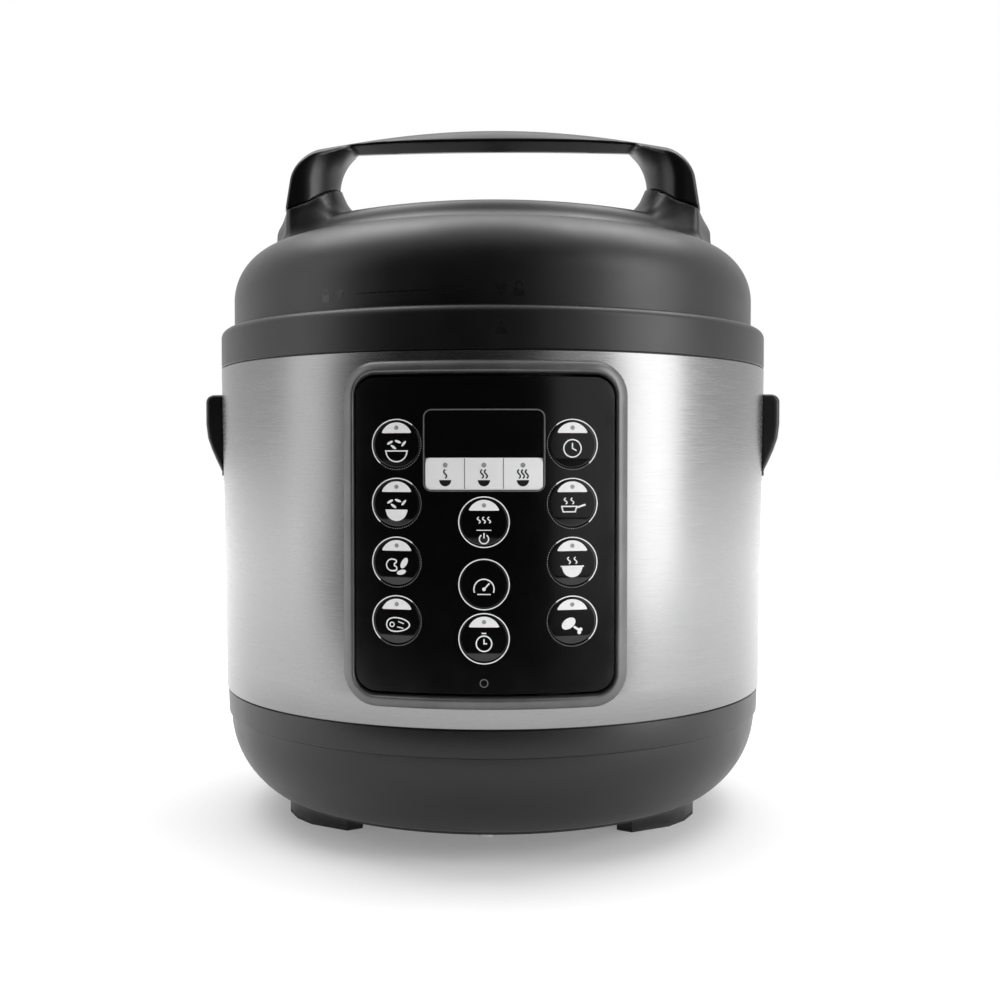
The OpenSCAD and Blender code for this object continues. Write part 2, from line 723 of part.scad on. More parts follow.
module sealing_ring() color(silicone) at_axis() rotate_extrude() polygon([
    [99.6, gasket_z], [105.5, gasket_z], [gasket_r, 210.5], [gasket_r, gasket_top_z],
    [105.8, gasket_top_z], [105.8, 211.6], [102.2, 211.6], [102.2, 213.8], [99.6, 213.8]
]);

// Solid of the lid's dome, shrunk by t
module dome(t) rotate_extrude() polygon(concat(
    [[0, lid_skirt_z - t * 4], [lid_r - t, lid_skirt_z - t * 4]],
    arc(shoulder_cr, shoulder_cz, shoulder_r - t, 0, shoulder_end, 12),
    arc(0, crown_cz, crown_r - t, acos(crown_foot_r / crown_r), 90, 8)
));

// Eye-shaped prism of the saddle, shrunk by t, under a shallow arch
module saddle(t) intersection() {
    translate([0, 0, 255]) linear_extrude(40) intersection_for(side = [-1, 1])
        translate([0, side * (saddle_side_r - saddle_half_d)]) circle(saddle_side_r - t, $fn = 200);
    translate([0, 0, 255]) cylinder(r = saddle_half_w - 5 - t, h = 40);
    translate([0, 100, saddle_z - 2000]) rotate([90, 0, 0])
        cylinder(r = 2000 - t, h = 200, $fn = 360);
}

// Plan outline of a post: straight front and back, bulging inwards
module post_plan() intersection() {
    translate([60, -post_half_d]) square([50, 2 * post_half_d]);
    translate([post_inner_cx, 0]) circle(post_inner_r);
}

// Stub of one grip post, moulded with the lid cover, on the +X side
module post_stub() intersection() {
    translate([0, 0, 250]) linear_extrude(60) post_plan();
    rotate_extrude() polygon([
        [0, 250], [113, 250], [109.6, 261.4], [105, 268], [102.3, 272], [100.6, 277],
        [99.6, 283], [99.4, 300], [0, 300]
    ]);
    translate([0, 40, 0]) rotate([90, 0, 0]) linear_extrude(80) polygon([
        [120, 255], [120, parting[0][1] - parting_gap],
        [parting[0][0], parting[0][1] - parting_gap],
        [parting[1][0], parting[1][1] - parting_gap],
        [parting[2][0] - 1, parting[2][1] - parting_gap + 0.7], [73, 292], [69, 284.5],
        [66, 280], [66, 255]
    ]);
}

// Feet of the grip's posts, which stand on the lid cover's shoulders
module grip_feet() color(black_plastic) at_axis() for (side = [0, 1]) mirror([side, 0, 0])
    difference() {
        post_stub();
        dome(0);
        saddle(0);
        for (y = [-grip_screw_y, grip_screw_y]) translate([grip_screw_x, y, 0])
            cylinder(r = 2.2, h = 310);
    }

module lid_cover() color(black_plastic) at_axis() difference() {
    union() {
        difference() {
            union() {
                dome(0);
                saddle(0);
            }
            dome(lid_wall);
            intersection() {
                saddle(lid_wall);
                translate([0, 0, 200]) cylinder(r = 84, h = 100);
            }
        }
        for (a = [45:90:315]) rotate(a) translate([lid_screw_ring_r, 0, 221.4])
            cylinder(r = 5, h = 44);
        intersection() {
            dome(0.5);
            translate([0, valve_y, valve_well_z - 2.2]) cylinder(r = valve_well_r + 2, h = 40);
        }
    }
    translate([0, valve_y, valve_well_z]) cylinder(r = valve_well_r, h = 40);
    translate([0, valve_y, 200]) cylinder(r = pipe_r + 0.6, h = 100);
    translate([float_x, float_y, 200]) cylinder(r = 5, h = 100);
    for (a = [45:90:315]) rotate(a) translate([lid_screw_ring_r, 0, 200])
        cylinder(r = 1.85, h = 38);
    for (x = [-grip_screw_x, grip_screw_x], y = [-grip_screw_y, grip_screw_y])
        translate([x, y, 0]) {
            cylinder(r = 2.2, h = 310);
            translate([0, 0, 200]) cylinder(r = 4.2, h = 76);
        }
}

// Solid of revolution whose outline is the grip's rounded shoulders
module grip_envelope() rotate_extrude() polygon(concat(
    [[0, 270], [99.4, 270]],
    arc(70.6, 287, 28.8, 0, 52, 8),
    [[76, 318], [40, 329], [0, 332]]
));

module lid_grip() color(black_plastic) at_axis() difference() {
    intersection() {
        grip_envelope();
        // The top is crowned from front to back and follows the arch
        translate([0, 0, grip_top_z - 372]) rotate([90, 0, 0]) rotate_extrude($fn = 240) polygon([
            [0, -30], [352, -30], [356, -post_half_d], [363.8, -15.5], [368.4, -10], [371.2, -5],
            [372, -1], [372, 1], [371.2, 5], [368.4, 10], [363.8, 15.5], [356, post_half_d],
            [352, 30], [0, 30]
        ]);
        // Two posts, and a bar whose waisted plan is narrower than they are
        union() {
            for (side = [0, 1]) mirror([side, 0, 0]) translate([0, 0, 270]) linear_extrude(80)
                post_plan();
            translate([0, 0, bar_foot_z]) linear_extrude(40) difference() {
                square([196, 2 * post_half_d], center = true);
                for (side = [-1, 1]) translate([0, side * (500 + grip_depth / 2)])
                    circle(500, $fn = 400);
            }
        }
    }
    // Finger gap, open from front to back, and all that is below the parting with the posts
    translate([0, 50, 0]) rotate([90, 0, 0]) linear_extrude(100) polygon(mirrored([
        [0, 250], [120, 250], [120, parting[0][1]], parting[0], parting[1], parting[2],
        [73.4, 302], [69, 312.2], [40, bar_under_z], [0, bar_under_z]
    ]));
    for (x = [-grip_screw_x, grip_screw_x], y = [-grip_screw_y, grip_screw_y])
        translate([x, y, 280]) cylinder(r = 2.05, h = 24);
}

module grip_screws() color(steel) at_axis()
    for (x = [-grip_screw_x, grip_screw_x], y = [-grip_screw_y, grip_screw_y])
        translate([x, y, 0]) {
            translate([0, 0, 273]) cylinder(r = 3.9, h = 3);
            translate([0, 0, 275]) cylinder(r = 1.95, h = 27);
        }

module pressure_lid() color(aluminium) at_axis() difference() {
    union() {
        rotate_extrude() polygon(concat(
            arc(0, plid_top_z - plid_arc_r, plid_arc_r, 90, acos(plid_dish_r / plid_arc_r), 8),
            [[plid_r, plid_edge_z], [plid_r, 209], [gasket_r + 0.4, 209],
             [gasket_r + 0.4, gasket_top_z + 0.3], [97.4, gasket_top_z + 0.3]],
            arc(0, plid_top_z - plid_arc_r, plid_arc_r - plid_t,
                acos(plid_dish_r / plid_arc_r), 90, 8)
        ));
        for (i = [0:lug_count - 1]) rotate((i + 0.5) * 360 / lug_count - lug_angle / 2)
            rotate_extrude(angle = lug_angle) translate([plid_r - 4, plid_lug_z])
                square([plid_lug_r - plid_r + 4, 3]);
    }
    translate([0, valve_y, 200]) cylinder(r = pipe_r + 0.1, h = 50);
    translate([float_x, float_y, 200]) cylinder(r = 2.6, h = 50);
    for (a = [45:90:315]) rotate(a) translate([lid_screw_ring_r, 0, 200])
        cylinder(r = 2.1, h = 50);
}

module lid_screws() color(steel) at_axis() for (a = [45:90:315]) rotate(a)
    translate([lid_screw_ring_r, 0, 0]) {
        translate([0, 0, 215.9]) cylinder(r = 3.4, h = 2);
        translate([0, 0, 217]) cylinder(r = 1.75, h = 20);
    }

module gasket_ring() color(steel) at_axis() rotate_extrude() polygon([
    [94.4, 209.6], [99.2, 209.6], [99.2, 211], [95.8, 211], [95.8, 216.6], [94.4, 216.6]
]);

module anti_block_shield() color(steel) at_axis() translate([0, valve_y - 5, 0]) difference() {
    union() {
        translate([0, 0, 207]) cylinder(r = 12, h = 1.4);
        tube(10.4, 12, 207, 219.5);
    }
    for (a = [0:45:315]) rotate(a) translate([8, -1.4, 209.4]) cube([8, 2.8, 6]);
}

module steam_pipe() color(steel) at_axis() translate([0, valve_y, 0]) difference() {
    union() {
        translate([0, 0, 213]) cylinder(r = pipe_r, h = 65);
        translate([0, 0, 214]) cylinder(r = 5.4, h = 5.6, $fn = 6);
        translate([0, 0, 224.1]) cylinder(r = 7.5, h = 4, $fn = 6);
    }
    translate([0, 0, 210]) cylinder(r = 1.5, h = 80);
}

module steam_valve() color(black_plastic) at_axis() translate([0, valve_y, 0]) difference() {
    union() {
        translate([0, 0, valve_well_z + 1]) cylinder(r = 15.5, h = 9);
        translate([0, 0, valve_well_z + 9.9]) cylinder(r1 = 15.5, r2 = 11, h = 3);
        translate([0, 0, valve_well_z + 12]) cylinder(r = 8.5, h = 17);
        translate([-4, -15, valve_well_z + 12]) cube([8, 30, 15]);
    }
    translate([0, 0, 250]) cylinder(r = pipe_r + 0.3, h = 29);
    for (a = [45:90:315]) rotate(a) translate([5.8, 0, valve_well_z + 20])
        cylinder(r = 1, h = 20);
}

module float_pin() color(steel) at_axis() translate([float_x, float_y, 0]) {
    translate([0, 0, 212]) cylinder(r = 2.3, h = 52);
    translate([0, 0, 223.8]) cylinder(r = 4.2, h = 2);
    translate([0, 0, 262]) cylinder(r = 4.4, h = 5);
}

module float_seal() color(silicone) at_axis() translate([float_x, float_y, 0])
    tube(2.35, 5, 212.2, 214.4);

base_housing();
bottom_cover();
feet();
foot_pads();
base_screws();
outer_shell();
top_collar();
outer_pot();
heating_plate();
heating_element();
plate_bolts();
sensor_spring();
thermal_fuse();
pressure_switch();
power_board();
board_components();
control_board();
board_screws();
tact_switches();
key_leds();
display_module();
panel_bezel();
panel_overlay();
display_window();
indicator_strip();
side_handle_left();
side_handle_right();
wall_screws();
power_inlet();
inlet_pins();
wiring();
ribbon_cable();
cup_holder();
temperature_sensor();
condensation_cup();
inner_pot();
sealing_ring();
lid_cover();
grip_feet();
lid_grip();
grip_screws();
pressure_lid();
lid_screws();
gasket_ring();
anti_block_shield();
steam_pipe();
steam_valve();
float_pin();
float_seal();
key_left_1();
key_left_2();
key_left_3();
key_left_4();
key_right_1();
key_right_2();
key_right_3();
key_right_4();
key_mid_1();
key_mid_2();
key_mid_3();
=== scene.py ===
"""Electric pressure cooker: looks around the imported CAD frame. Lengths in the helpers are millimetres
about the body's axis; build() turns them into metres in the row frame."""
import math

import bmesh
import bpy
import numpy as np
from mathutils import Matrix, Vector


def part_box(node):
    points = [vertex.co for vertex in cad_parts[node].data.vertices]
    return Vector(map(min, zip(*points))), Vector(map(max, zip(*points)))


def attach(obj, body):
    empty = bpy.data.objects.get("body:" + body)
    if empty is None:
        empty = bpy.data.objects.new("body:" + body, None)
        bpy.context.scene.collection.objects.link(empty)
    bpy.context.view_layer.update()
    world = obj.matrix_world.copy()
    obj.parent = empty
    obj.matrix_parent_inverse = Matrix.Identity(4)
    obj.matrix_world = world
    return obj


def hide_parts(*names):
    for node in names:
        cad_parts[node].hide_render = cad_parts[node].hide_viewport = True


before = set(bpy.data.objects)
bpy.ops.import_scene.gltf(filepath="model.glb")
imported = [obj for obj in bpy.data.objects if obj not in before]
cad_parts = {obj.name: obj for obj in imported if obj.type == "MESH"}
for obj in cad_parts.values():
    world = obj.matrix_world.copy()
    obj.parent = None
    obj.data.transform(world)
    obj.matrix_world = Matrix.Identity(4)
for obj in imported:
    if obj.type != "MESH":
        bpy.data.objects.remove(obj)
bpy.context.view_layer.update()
shell_low, shell_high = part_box("outer_shell")
AXIS_Y = (shell_low[1] + shell_high[1]) / 2
MM = 0.001

# ---------------------------------------------------------------- materials


class Nodes:
    """Short way to add linked shader nodes to one tree."""

    def __init__(self, tree):
        self.tree = tree

    def add(self, kind, inputs=(), **settings):
        node = self.tree.nodes.new(kind)
        for key, value in settings.items():
            setattr(node, key, value)
        for key, value in dict(inputs).items():
            if isinstance(value, bpy.types.NodeSocket):
                self.tree.links.new(value, node.inputs[key])
            else:
                node.inputs[key].default_value = value
        return node

    def math(self, operation, a, b=0.0):
        return self.add("ShaderNodeMath", {0: a, 1: b}, operation=operation).outputs[0]

    def noise(self, vector, scale, detail=2.0, roughness=0.5):
        node = self.add(
            "ShaderNodeTexNoise",
            {"Vector": vector, "Scale": scale, "Detail": detail, "Roughness": roughness},
        )
        return node.outputs["Fac"]

    def remap(self, value, low, high, source=(0.3, 0.7)):
        node = self.add(
            "ShaderNodeMapRange",
            {"Value": value, "From Min": source[0], "From Max": source[1], "To Min": low, "To Max": high},
        )
        return node.outputs["Result"]


def material(name, colour, rough, metallic=0.0, vary=0.12, rough_vary=0.05, grain=(0.5, 0.01),
             mottle=14.0, brush=None, fixed=()):
    """Principled material. grain is (size, depth) of the surface grain in mm, mottle the size of slow
    variation, brush "around" or "rings" for brushed metal, fixed other sockets with set values."""
    mat = bpy.data.materials.new(name)
    mat.use_nodes = True
    tree = mat.node_tree
    tree.nodes.clear()
    n = Nodes(tree)
    output = n.add("ShaderNodeOutputMaterial")
    bsdf = n.add("ShaderNodeBsdfPrincipled", dict(fixed))
    tree.links.new(bsdf.outputs[0], output.inputs["Surface"])
    bsdf.inputs["Metallic"].default_value = metallic
    where = n.add("ShaderNodeTexCoord").outputs["Object"]
    mm = n.add("ShaderNodeMapping", {"Vector": where, "Scale": (1 / MM,) * 3}).outputs[0]
    slow = n.noise(mm, 1 / mottle, 2)
    if brush:
        split = n.add("ShaderNodeSeparateXYZ", {"Vector": mm})
        x, z = split.outputs[0], split.outputs[2]
        y = n.math("SUBTRACT", split.outputs[1], AXIS_Y / MM)
        radius = n.math("SQRT", n.math("ADD", n.math("MULTIPLY", x, x), n.math("MULTIPLY", y, y)))
        turn = n.math("ARCTAN2", y, x)
        if brush == "around":
            across, scale = n.math("MULTIPLY", z, 0.5), 9.0
        else:
            across, scale = n.math("MULTIPLY", n.math("ADD", radius, z), 0.9), 2.5
        line = n.add("ShaderNodeCombineXYZ",
                     {0: n.math("COSINE", turn), 1: n.math("SINE", turn), 2: across}).outputs[0]
        fine = n.noise(line, scale, 5, 0.62)
    else:
        fine = n.noise(mm, 1 / grain[0], 3, 0.6)
    dark = [c * (1 - vary) for c in colour[:3]] + [1]
    light = [min(1.0, c * (1 + vary)) for c in colour[:3]] + [1]
    tone = n.remap(fine if brush else slow, 0.0, 1.0)
    mix = n.add("ShaderNodeMix", {"Factor": tone}, data_type="RGBA")
    for socket in mix.inputs:
        if socket.type == "RGBA":
            socket.default_value = dark if socket.name == "A" else light
    tree.links.new(mix.outputs[2], bsdf.inputs["Base Color"])
    slow_share = 0.08 if brush else 0.5
    both = n.math("ADD", n.math("MULTIPLY", slow, slow_share), n.math("MULTIPLY", fine, 1 - slow_share))
    tree.links.new(n.remap(both, rough - rough_vary, rough + rough_vary), bsdf.inputs["Roughness"])
    bump = n.add("ShaderNodeBump", {"Height": fine, "Strength": 1.0, "Distance": grain[1] * MM})
    tree.links.new(bump.outputs[0], bsdf.inputs["Normal"])
    return mat


SATIN = material("satin_black_plastic", (0.0032, 0.0032, 0.0033), 0.38, grain=(0.45, 0.012), rough_vary=0.04)
GRIP = material("grip_plastic", (0.0028, 0.0028, 0.0029), 0.34, grain=(0.45, 0.010), rough_vary=0.04)
BEZEL = material("bezel_plastic", (0.13, 0.13, 0.131), 0.36, 0.6, grain=(0.4, 0.010), rough_vary=0.04)
RUBBER = material("foot_rubber", (0.02, 0.02, 0.02), 0.75, grain=(0.7, 0.03))
BRUSHED = material("brushed_wall", (0.27, 0.27, 0.272), 0.25, 1.0, vary=0.06, rough_vary=0.05,
                   grain=(0.2, 0.003), brush="around", fixed={"Anisotropic": 0.5})
POT_STEEL = material("pot_steel", (0.42, 0.42, 0.42), 0.28, 1.0, vary=0.06, grain=(0.2, 0.006), brush="rings")
SHEET = material("pressed_steel", (0.42, 0.42, 0.425), 0.38, 1.0, vary=0.06, grain=(1.2, 0.01))
CAST = material("cast_aluminium", (0.56, 0.565, 0.57), 0.46, 1.0, vary=0.08, grain=(0.8, 0.02))
TURNED = material("turned_aluminium", (0.58, 0.585, 0.59), 0.36, 1.0, vary=0.10, grain=(0.2, 0.02),
                  brush="rings")
ZINC = material("zinc_steel", (0.50, 0.50, 0.51), 0.32, 1.0, grain=(0.6, 0.01))
PART_BLACK = material("component_black", (0.025, 0.025, 0.026), 0.35, grain=(0.4, 0.008))
BOARD = material("solder_mask", (0.02, 0.12, 0.05), 0.3, vary=0.25, grain=(1.5, 0.01), mottle=4)
LED = material("led_lens", (0.30, 0.30, 0.30), 0.3, grain=(0.4, 0.004))
GLOSS = material("panel_gloss_black", (0.0012, 0.0012, 0.0013), 0.20, rough_vary=0.03, grain=(9.0, 0.012))
KEY_FACE = material("key_gloss_black", (0.0012, 0.0012, 0.0013), 0.20, rough_vary=0.03, grain=(5.0, 0.01))
WINDOW = material("smoked_window", (0.002, 0.002, 0.0022), 0.16, grain=(9.0, 0.01))
# Painted light: white print, the indicator strip and the key windows give off a faint glow of their own, so they
# read brighter than their lit colour, though none of them is a lamp
PAINTED_GLOW = {"Emission Color": (1, 1, 1, 1), "Emission Strength": 0.14}
STRIP = material("white_strip", (0.80, 0.80, 0.80), 0.38, vary=0.03, grain=(0.5, 0.004), fixed=PAINTED_GLOW)
INK = material("white_ink", (0.82, 0.82, 0.82), 0.5, vary=0.05, grain=(0.3, 0.004), mottle=2, fixed=PAINTED_GLOW)
LENS = material("key_lens", (0.86, 0.86, 0.86), 0.32, vary=0.03, grain=(0.5, 0.004), mottle=3, fixed=PAINTED_GLOW)
GREY_INK = material("grey_ink", (0.14, 0.14, 0.14), 0.45, grain=(0.3, 0.004), mottle=2)
DARK_INK = material("dark_ink", (0.012, 0.012, 0.012), 0.3, grain=(0.3, 0.004), mottle=2)
DOT_INK = material("dot_grey", (0.36, 0.36, 0.37), 0.4, grain=(0.3, 0.004), mottle=2)
MARK = material("moulded_mark", (0.008, 0.008, 0.008), 0.25, grain=(0.3, 0.004), mottle=2)
BRASS = material("blade_brass", (0.66, 0.50, 0.22), 0.3, 1.0, grain=(0.6, 0.008))
LEAD = material("lead_insulation", (0.07, 0.012, 0.012), 0.5, grain=(0.5, 0.01))
FLAT_CABLE = material("flat_cable", (0.38, 0.38, 0.36), 0.5, grain=(0.6, 0.01), mottle=3)
SMOKE = material("smoked_cup", (0.16, 0.165, 0.17), 0.16, grain=(6.0, 0.01),
                 fixed={"Transmission Weight": 0.75, "IOR": 1.49})
SILICONE = material("silicone", (0.66, 0.68, 0.68), 0.5, vary=0.04, grain=(0.6, 0.01),
                    fixed={"Subsurface Weight": 0.15})

# ---------------------------------------------------------------- mesh helpers


def build(name, points, faces, body, slot, mat, nodes=(), crease=35.0, outward=False):
    """New piece from points in mm about the axis. outward turns its faces to point out."""
    v = np.array(points, float) * MM
    v[:, 1] += AXIS_Y
    mesh = bpy.data.meshes.new(name)
    mesh.from_pydata(v.tolist(), [], [tuple(int(i) for i in f) for f in faces])
    if outward:
        bm = bmesh.new()
        bm.from_mesh(mesh)
        bmesh.ops.recalc_face_normals(bm, faces=bm.faces)
        bm.to_mesh(mesh)
        bm.free()
    mesh.shade_smooth()
    if crease:
        mesh.set_sharp_from_angle(angle=math.radians(crease))
    mesh.materials.append(mat)
    obj = bpy.data.objects.new(name, mesh)
    bpy.context.scene.collection.objects.link(obj)
    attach(obj, body)
    if nodes:
        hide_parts(*nodes)
    return obj


def join(*parts):
    """Points and faces of several meshes as one."""
    points, faces = [], []
    for p, f in parts:
        base = len(points)
        points += [tuple(q) for q in p]
        faces += [tuple(i + base for i in face) for face in f]
    return points, faces


def arc(cx, cy, r, start, end, steps):
    return [(cx + r * math.cos(math.radians(a)), cy + r * math.sin(math.radians(a)))
            for a in np.linspace(start, end, steps + 1)]


def rounded(corners, steps=4):
    """Closed outline from corners (x, y) or (x, y, radius), with those corners rounded."""
    out = []
    for i, corner in enumerate(corners):
        p = np.array(corner[:2], float)
        radius = corner[2] if len(corner) > 2 else 0.0
        if not radius:
            out.append(tuple(p))
            continue
        a = np.array(corners[i - 1][:2], float) - p
        b = np.array(corners[(i + 1) % len(corners)][:2], float) - p
        la, lb = np.linalg.norm(a), np.linalg.norm(b)
        a, b = a / la, b / lb
        half = math.acos(max(-1.0, min(1.0, float(a @ b)))) / 2
        cut = min(radius / math.tan(half), 0.49 * la, 0.49 * lb)
        centre = p + (a + b) / np.linalg.norm(a + b) * cut / math.cos(half)
        va, vb = p + a * cut - centre, p + b * cut - centre
        angle = math.pi - 2 * half
        for s in range(steps + 1):
            t = s / steps
            along = (math.sin((1 - t) * angle) * va + math.sin(t * angle) * vb) / math.sin(angle)
            out.append(tuple(centre + along))
    return out


def lathe(profile, segments=160, start=0.0, sweep=360.0):
    """Solid turned about the axis from a closed outline of (r, z)."""
    full = abs(sweep - 360.0) < 1e-6
    count = segments if full else segments + 1
    angles = [math.radians(start + sweep * i / segments) for i in range(count)]
    points, ring = [], []
    for r, z in profile:
        if r < 1e-6:
            ring.append([len(points)] * count)
            points.append((0.0, 0.0, z))
        else:
            ring.append(list(range(len(points), len(points) + count)))
            points += [(r * math.cos(a), r * math.sin(a), z) for a in angles]
    faces = []
    for i in range(len(profile)):
        a, b = ring[i], ring[(i + 1) % len(profile)]
        for s in range(segments):
            t = (s + 1) % count
            face = []
            for v in (a[s], a[t], b[t], b[s]):
                if v not in face:
                    face.append(v)
            if len(face) > 2:
                faces.append(face)
    if not full:
        faces.append([r[0] for r in ring])
        faces.append([r[-1] for r in reversed(ring)])
    return points, faces


def loft(loops, closed=False, cap=True):
    """Skin over loops with the same number of points."""
    size = len(loops[0])
    points = [tuple(p) for loop in loops for p in loop]
    faces = []
    for i in range(len(loops) if closed else len(loops) - 1):
        a, b = i * size, ((i + 1) % len(loops)) * size
        for s in range(size):
            t = (s + 1) % size
            faces.append((a + s, a + t, b + t, b + s))
    if not closed and cap:
        faces.append(tuple(reversed(range(size))))
        faces.append(tuple(range((len(loops) - 1) * size, len(loops) * size)))
    return points, faces


def rect_loop(w, h, r, across=1, up=1, steps=6):
    """Rounded rectangle about the origin, its long edges cut into across and up parts."""
    out = []
    for sx, sy, start in ((1, 1, 0), (-1, 1, 90), (-1, -1, 180), (1, -1, 270)):
        corner = arc(sx * (w / 2 - r), sy * (h / 2 - r), r, start, start + 90, steps)
        if out:
            out += between(out[-1], corner[0], across if start in (90, 270) else up)
        out += corner
    return out + between(out[-1], out[0], up)


def between(a, b, parts):
    """Points that cut the line from a to b into parts, without its ends."""
    return [(a[0] + (b[0] - a[0]) * i / parts, a[1] + (b[1] - a[1]) * i / parts) for i in range(1, parts)]


def on_wall(u, v, radius):
    """Point at sideways u and height v on the front of an upright cylinder."""
    return (u, -math.sqrt(radius * radius - u * u), v)


# Signed distances, in mm, for moulded shapes with soft edges


def around_axis(x, y, radius, angle):
    """Distance in plan from a point at a radius and an angle in degrees."""
    return np.hypot(x - radius * math.cos(math.radians(angle)), y - radius * math.sin(math.radians(angle)))


def fillet_union(a, b, r):
    return np.maximum(r, np.minimum(a, b)) - np.hypot(np.maximum(r - a, 0), np.maximum(r - b, 0))


def fillet_cut(a, b, r):
    """Intersection of two solids with an edge of radius r."""
    return -fillet_union(-a, -b, r)


def box_field(x, y, z, low, high, r=0.0):
    q = [np.maximum(lo - p, p - hi) + r for p, lo, hi in zip((x, y, z), low, high)]
    outside = np.sqrt(sum(np.maximum(v, 0) ** 2 for v in q))
    return outside + np.minimum(np.maximum(np.maximum(q[0], q[1]), q[2]), 0) - r


def surface(field, low, high, step):
    """Points and quads of field = 0. field(x, y, z) is about a distance, and never grows faster."""
    block = 8
    low = np.array(low, float)
    blocks = np.ceil((np.array(high, float) - low) / (step * block)).astype(int)
    cells = blocks * block
    mid = [low[i] + step * block * (np.arange(blocks[i]) + 0.5) for i in range(3)]
    coarse = field(*[g.ravel() for g in np.meshgrid(*mid, indexing="ij")]).reshape(blocks)
    sign = coarse
    for i in range(3):
        sign = np.repeat(sign, block, axis=i)
    values = np.pad(sign, ((0, 1),) * 3, mode="edge").astype(np.float32)
    near = np.argwhere(np.abs(coarse) < step * block * 1.05)
    k = np.arange(block + 1)
    inner = np.stack(np.meshgrid(k, k, k, indexing="ij"), -1).reshape(-1, 3)
    for part in np.array_split(near, max(1, len(near) // 300)):
        index = (part[:, None, :] * block + inner[None]).reshape(-1, 3)
        p = low + step * index
        values[tuple(index.T)] = field(p[:, 0], p[:, 1], p[:, 2])
    inside = values < 0
    corners = [(a, b, c) for a in (0, 1) for b in (0, 1) for c in (0, 1)]
    total = sum(inside[a:cells[0] + a, b:cells[1] + b, c:cells[2] + c].astype(np.uint8) for a, b, c in corners)
    mixed = (total > 0) & (total < 8)
    cell = np.argwhere(mixed)
    number = np.full(tuple(cells), -1, np.int32)
    number[mixed] = np.arange(len(cell))
    at = np.stack([values[tuple((cell + c).T)] for c in corners], 1).astype(float)
    place, hits = np.zeros((len(cell), 3)), np.zeros(len(cell))
    for i, a in enumerate(corners):
        for j, b in enumerate(corners):
            if i < j and sum(abs(p - q) for p, q in zip(a, b)) == 1:
                cross = (at[:, i] < 0) != (at[:, j] < 0)
                t = np.where(cross, at[:, i] / np.where(cross, at[:, i] - at[:, j], 1), 0)
                place += cross[:, None] * (np.array(a) + t[:, None] * (np.array(b) - np.array(a)))
                hits += cross
    p = low + step * (cell + place / hits[:, None])
    for _ in range(3):
        value, h = field(*p.T), 0.05
        slope = np.stack([(field(*(p + h * e).T) - field(*(p - h * e).T)) / (2 * h) for e in np.eye(3)], 1)
        size = np.maximum((slope ** 2).sum(1), 0.25)
        p -= np.clip(value / size, -0.4 * step, 0.4 * step)[:, None] * slope
    faces = []
    for axis in range(3):
        u, v = (axis + 1) % 3, (axis + 2) % 3
        first = [slice(None)] * 3
        second = [slice(None)] * 3
        first[axis], second[axis] = slice(0, -1), slice(1, None)
        lower = inside[tuple(first)]
        edge = np.argwhere(lower != inside[tuple(second)])
        edge = edge[(edge[:, u] > 0) & (edge[:, v] > 0) & (edge[:, u] < cells[u]) & (edge[:, v] < cells[v])]
        quad = []
        for du, dv in ((-1, -1), (0, -1), (0, 0), (-1, 0)):
            shifted = edge.copy()
            shifted[:, u] += du
            shifted[:, v] += dv
            quad.append(number[tuple(shifted.T)])
        quad = np.stack(quad, 1)
        flip = ~lower[tuple(edge.T)]
        quad[flip] = quad[flip][:, ::-1]
        faces.append(quad)
    return p, np.concatenate(faces)


# ---------------------------------------------------------------- steel wall

WALL_LOW, WALL_TOP = 58.6, 206.4
WALL_LOW_R, WALL_TOP_R = 128.2, 130
SHEET_THICK = 0.8
PANEL_HOLE_HALF, PANEL_HOLE_LOW, PANEL_HOLE_TOP = 51.5, 71.5, 197.6
HANDLE_HOLE_HALF, HANDLE_HOLE_LOW, HANDLE_HOLE_TOP = 26.0, 158.0, 192.0


def wall_r(z):
    return WALL_LOW_R + (WALL_TOP_R - WALL_LOW_R) * (z - WALL_LOW) / (WALL_TOP - WALL_LOW)


def steel_wall():
    """Tapered sheet with openings behind the panel's frame and the side handles."""
    around = 192
    rows = [WALL_LOW, 59.1, PANEL_HOLE_LOW, 100, 130, HANDLE_HOLE_LOW, HANDLE_HOLE_TOP, PANEL_HOLE_TOP, 206.2,
            WALL_TOP]
    edge = [0.25, 0, 0, 0, 0, 0, 0, 0, 0, 0.05]
    step = 2 * math.pi / around
    points, index = [], {}

    def corner(i, j, side):
        key = (i, j % around, side)
        if key not in index:
            r = wall_r(rows[i]) - (SHEET_THICK - edge[i] if side else edge[i])
            a = (j % around) * step
            index[key] = len(points)
            points.append((r * math.sin(a), -r * math.cos(a), rows[i]))
        return index[key]

    def solid(i, j):
        if not 0 <= i < len(rows) - 1:
            return False
        j = j % around
        middle, height = (j + 0.5) * step, (rows[i] + rows[i + 1]) / 2
        x, y = WALL_TOP_R * math.sin(middle), -WALL_TOP_R * math.cos(middle)
        if y < 0 and abs(x) < PANEL_HOLE_HALF and PANEL_HOLE_LOW < height < PANEL_HOLE_TOP:
            return False
        return not (abs(y) < HANDLE_HOLE_HALF and HANDLE_HOLE_LOW < height < HANDLE_HOLE_TOP)

    faces = []
    for i in range(len(rows) - 1):
        for j in range(around):
            if not solid(i, j):
                continue
            faces.append((corner(i, j, 0), corner(i, j + 1, 0), corner(i + 1, j + 1, 0), corner(i + 1, j, 0)))
            faces.append((corner(i, j, 1), corner(i + 1, j, 1), corner(i + 1, j + 1, 1), corner(i, j + 1, 1)))
            for di, dj, a, b in ((-1, 0, (i, j), (i, j + 1)), (1, 0, (i + 1, j + 1), (i + 1, j)),
                                 (0, 1, (i, j + 1), (i + 1, j + 1)), (0, -1, (i + 1, j), (i, j))):
                if not solid(i + di, j + dj):
                    faces.append((corner(*a, 1), corner(*b, 1), corner(*b, 0), corner(*a, 0)))
    return points, faces


build("steel_wall", *steel_wall(), "base", "brushed_shell", BRUSHED, ["outer_shell"], crease=50)

# ---------------------------------------------------------------- base and collar

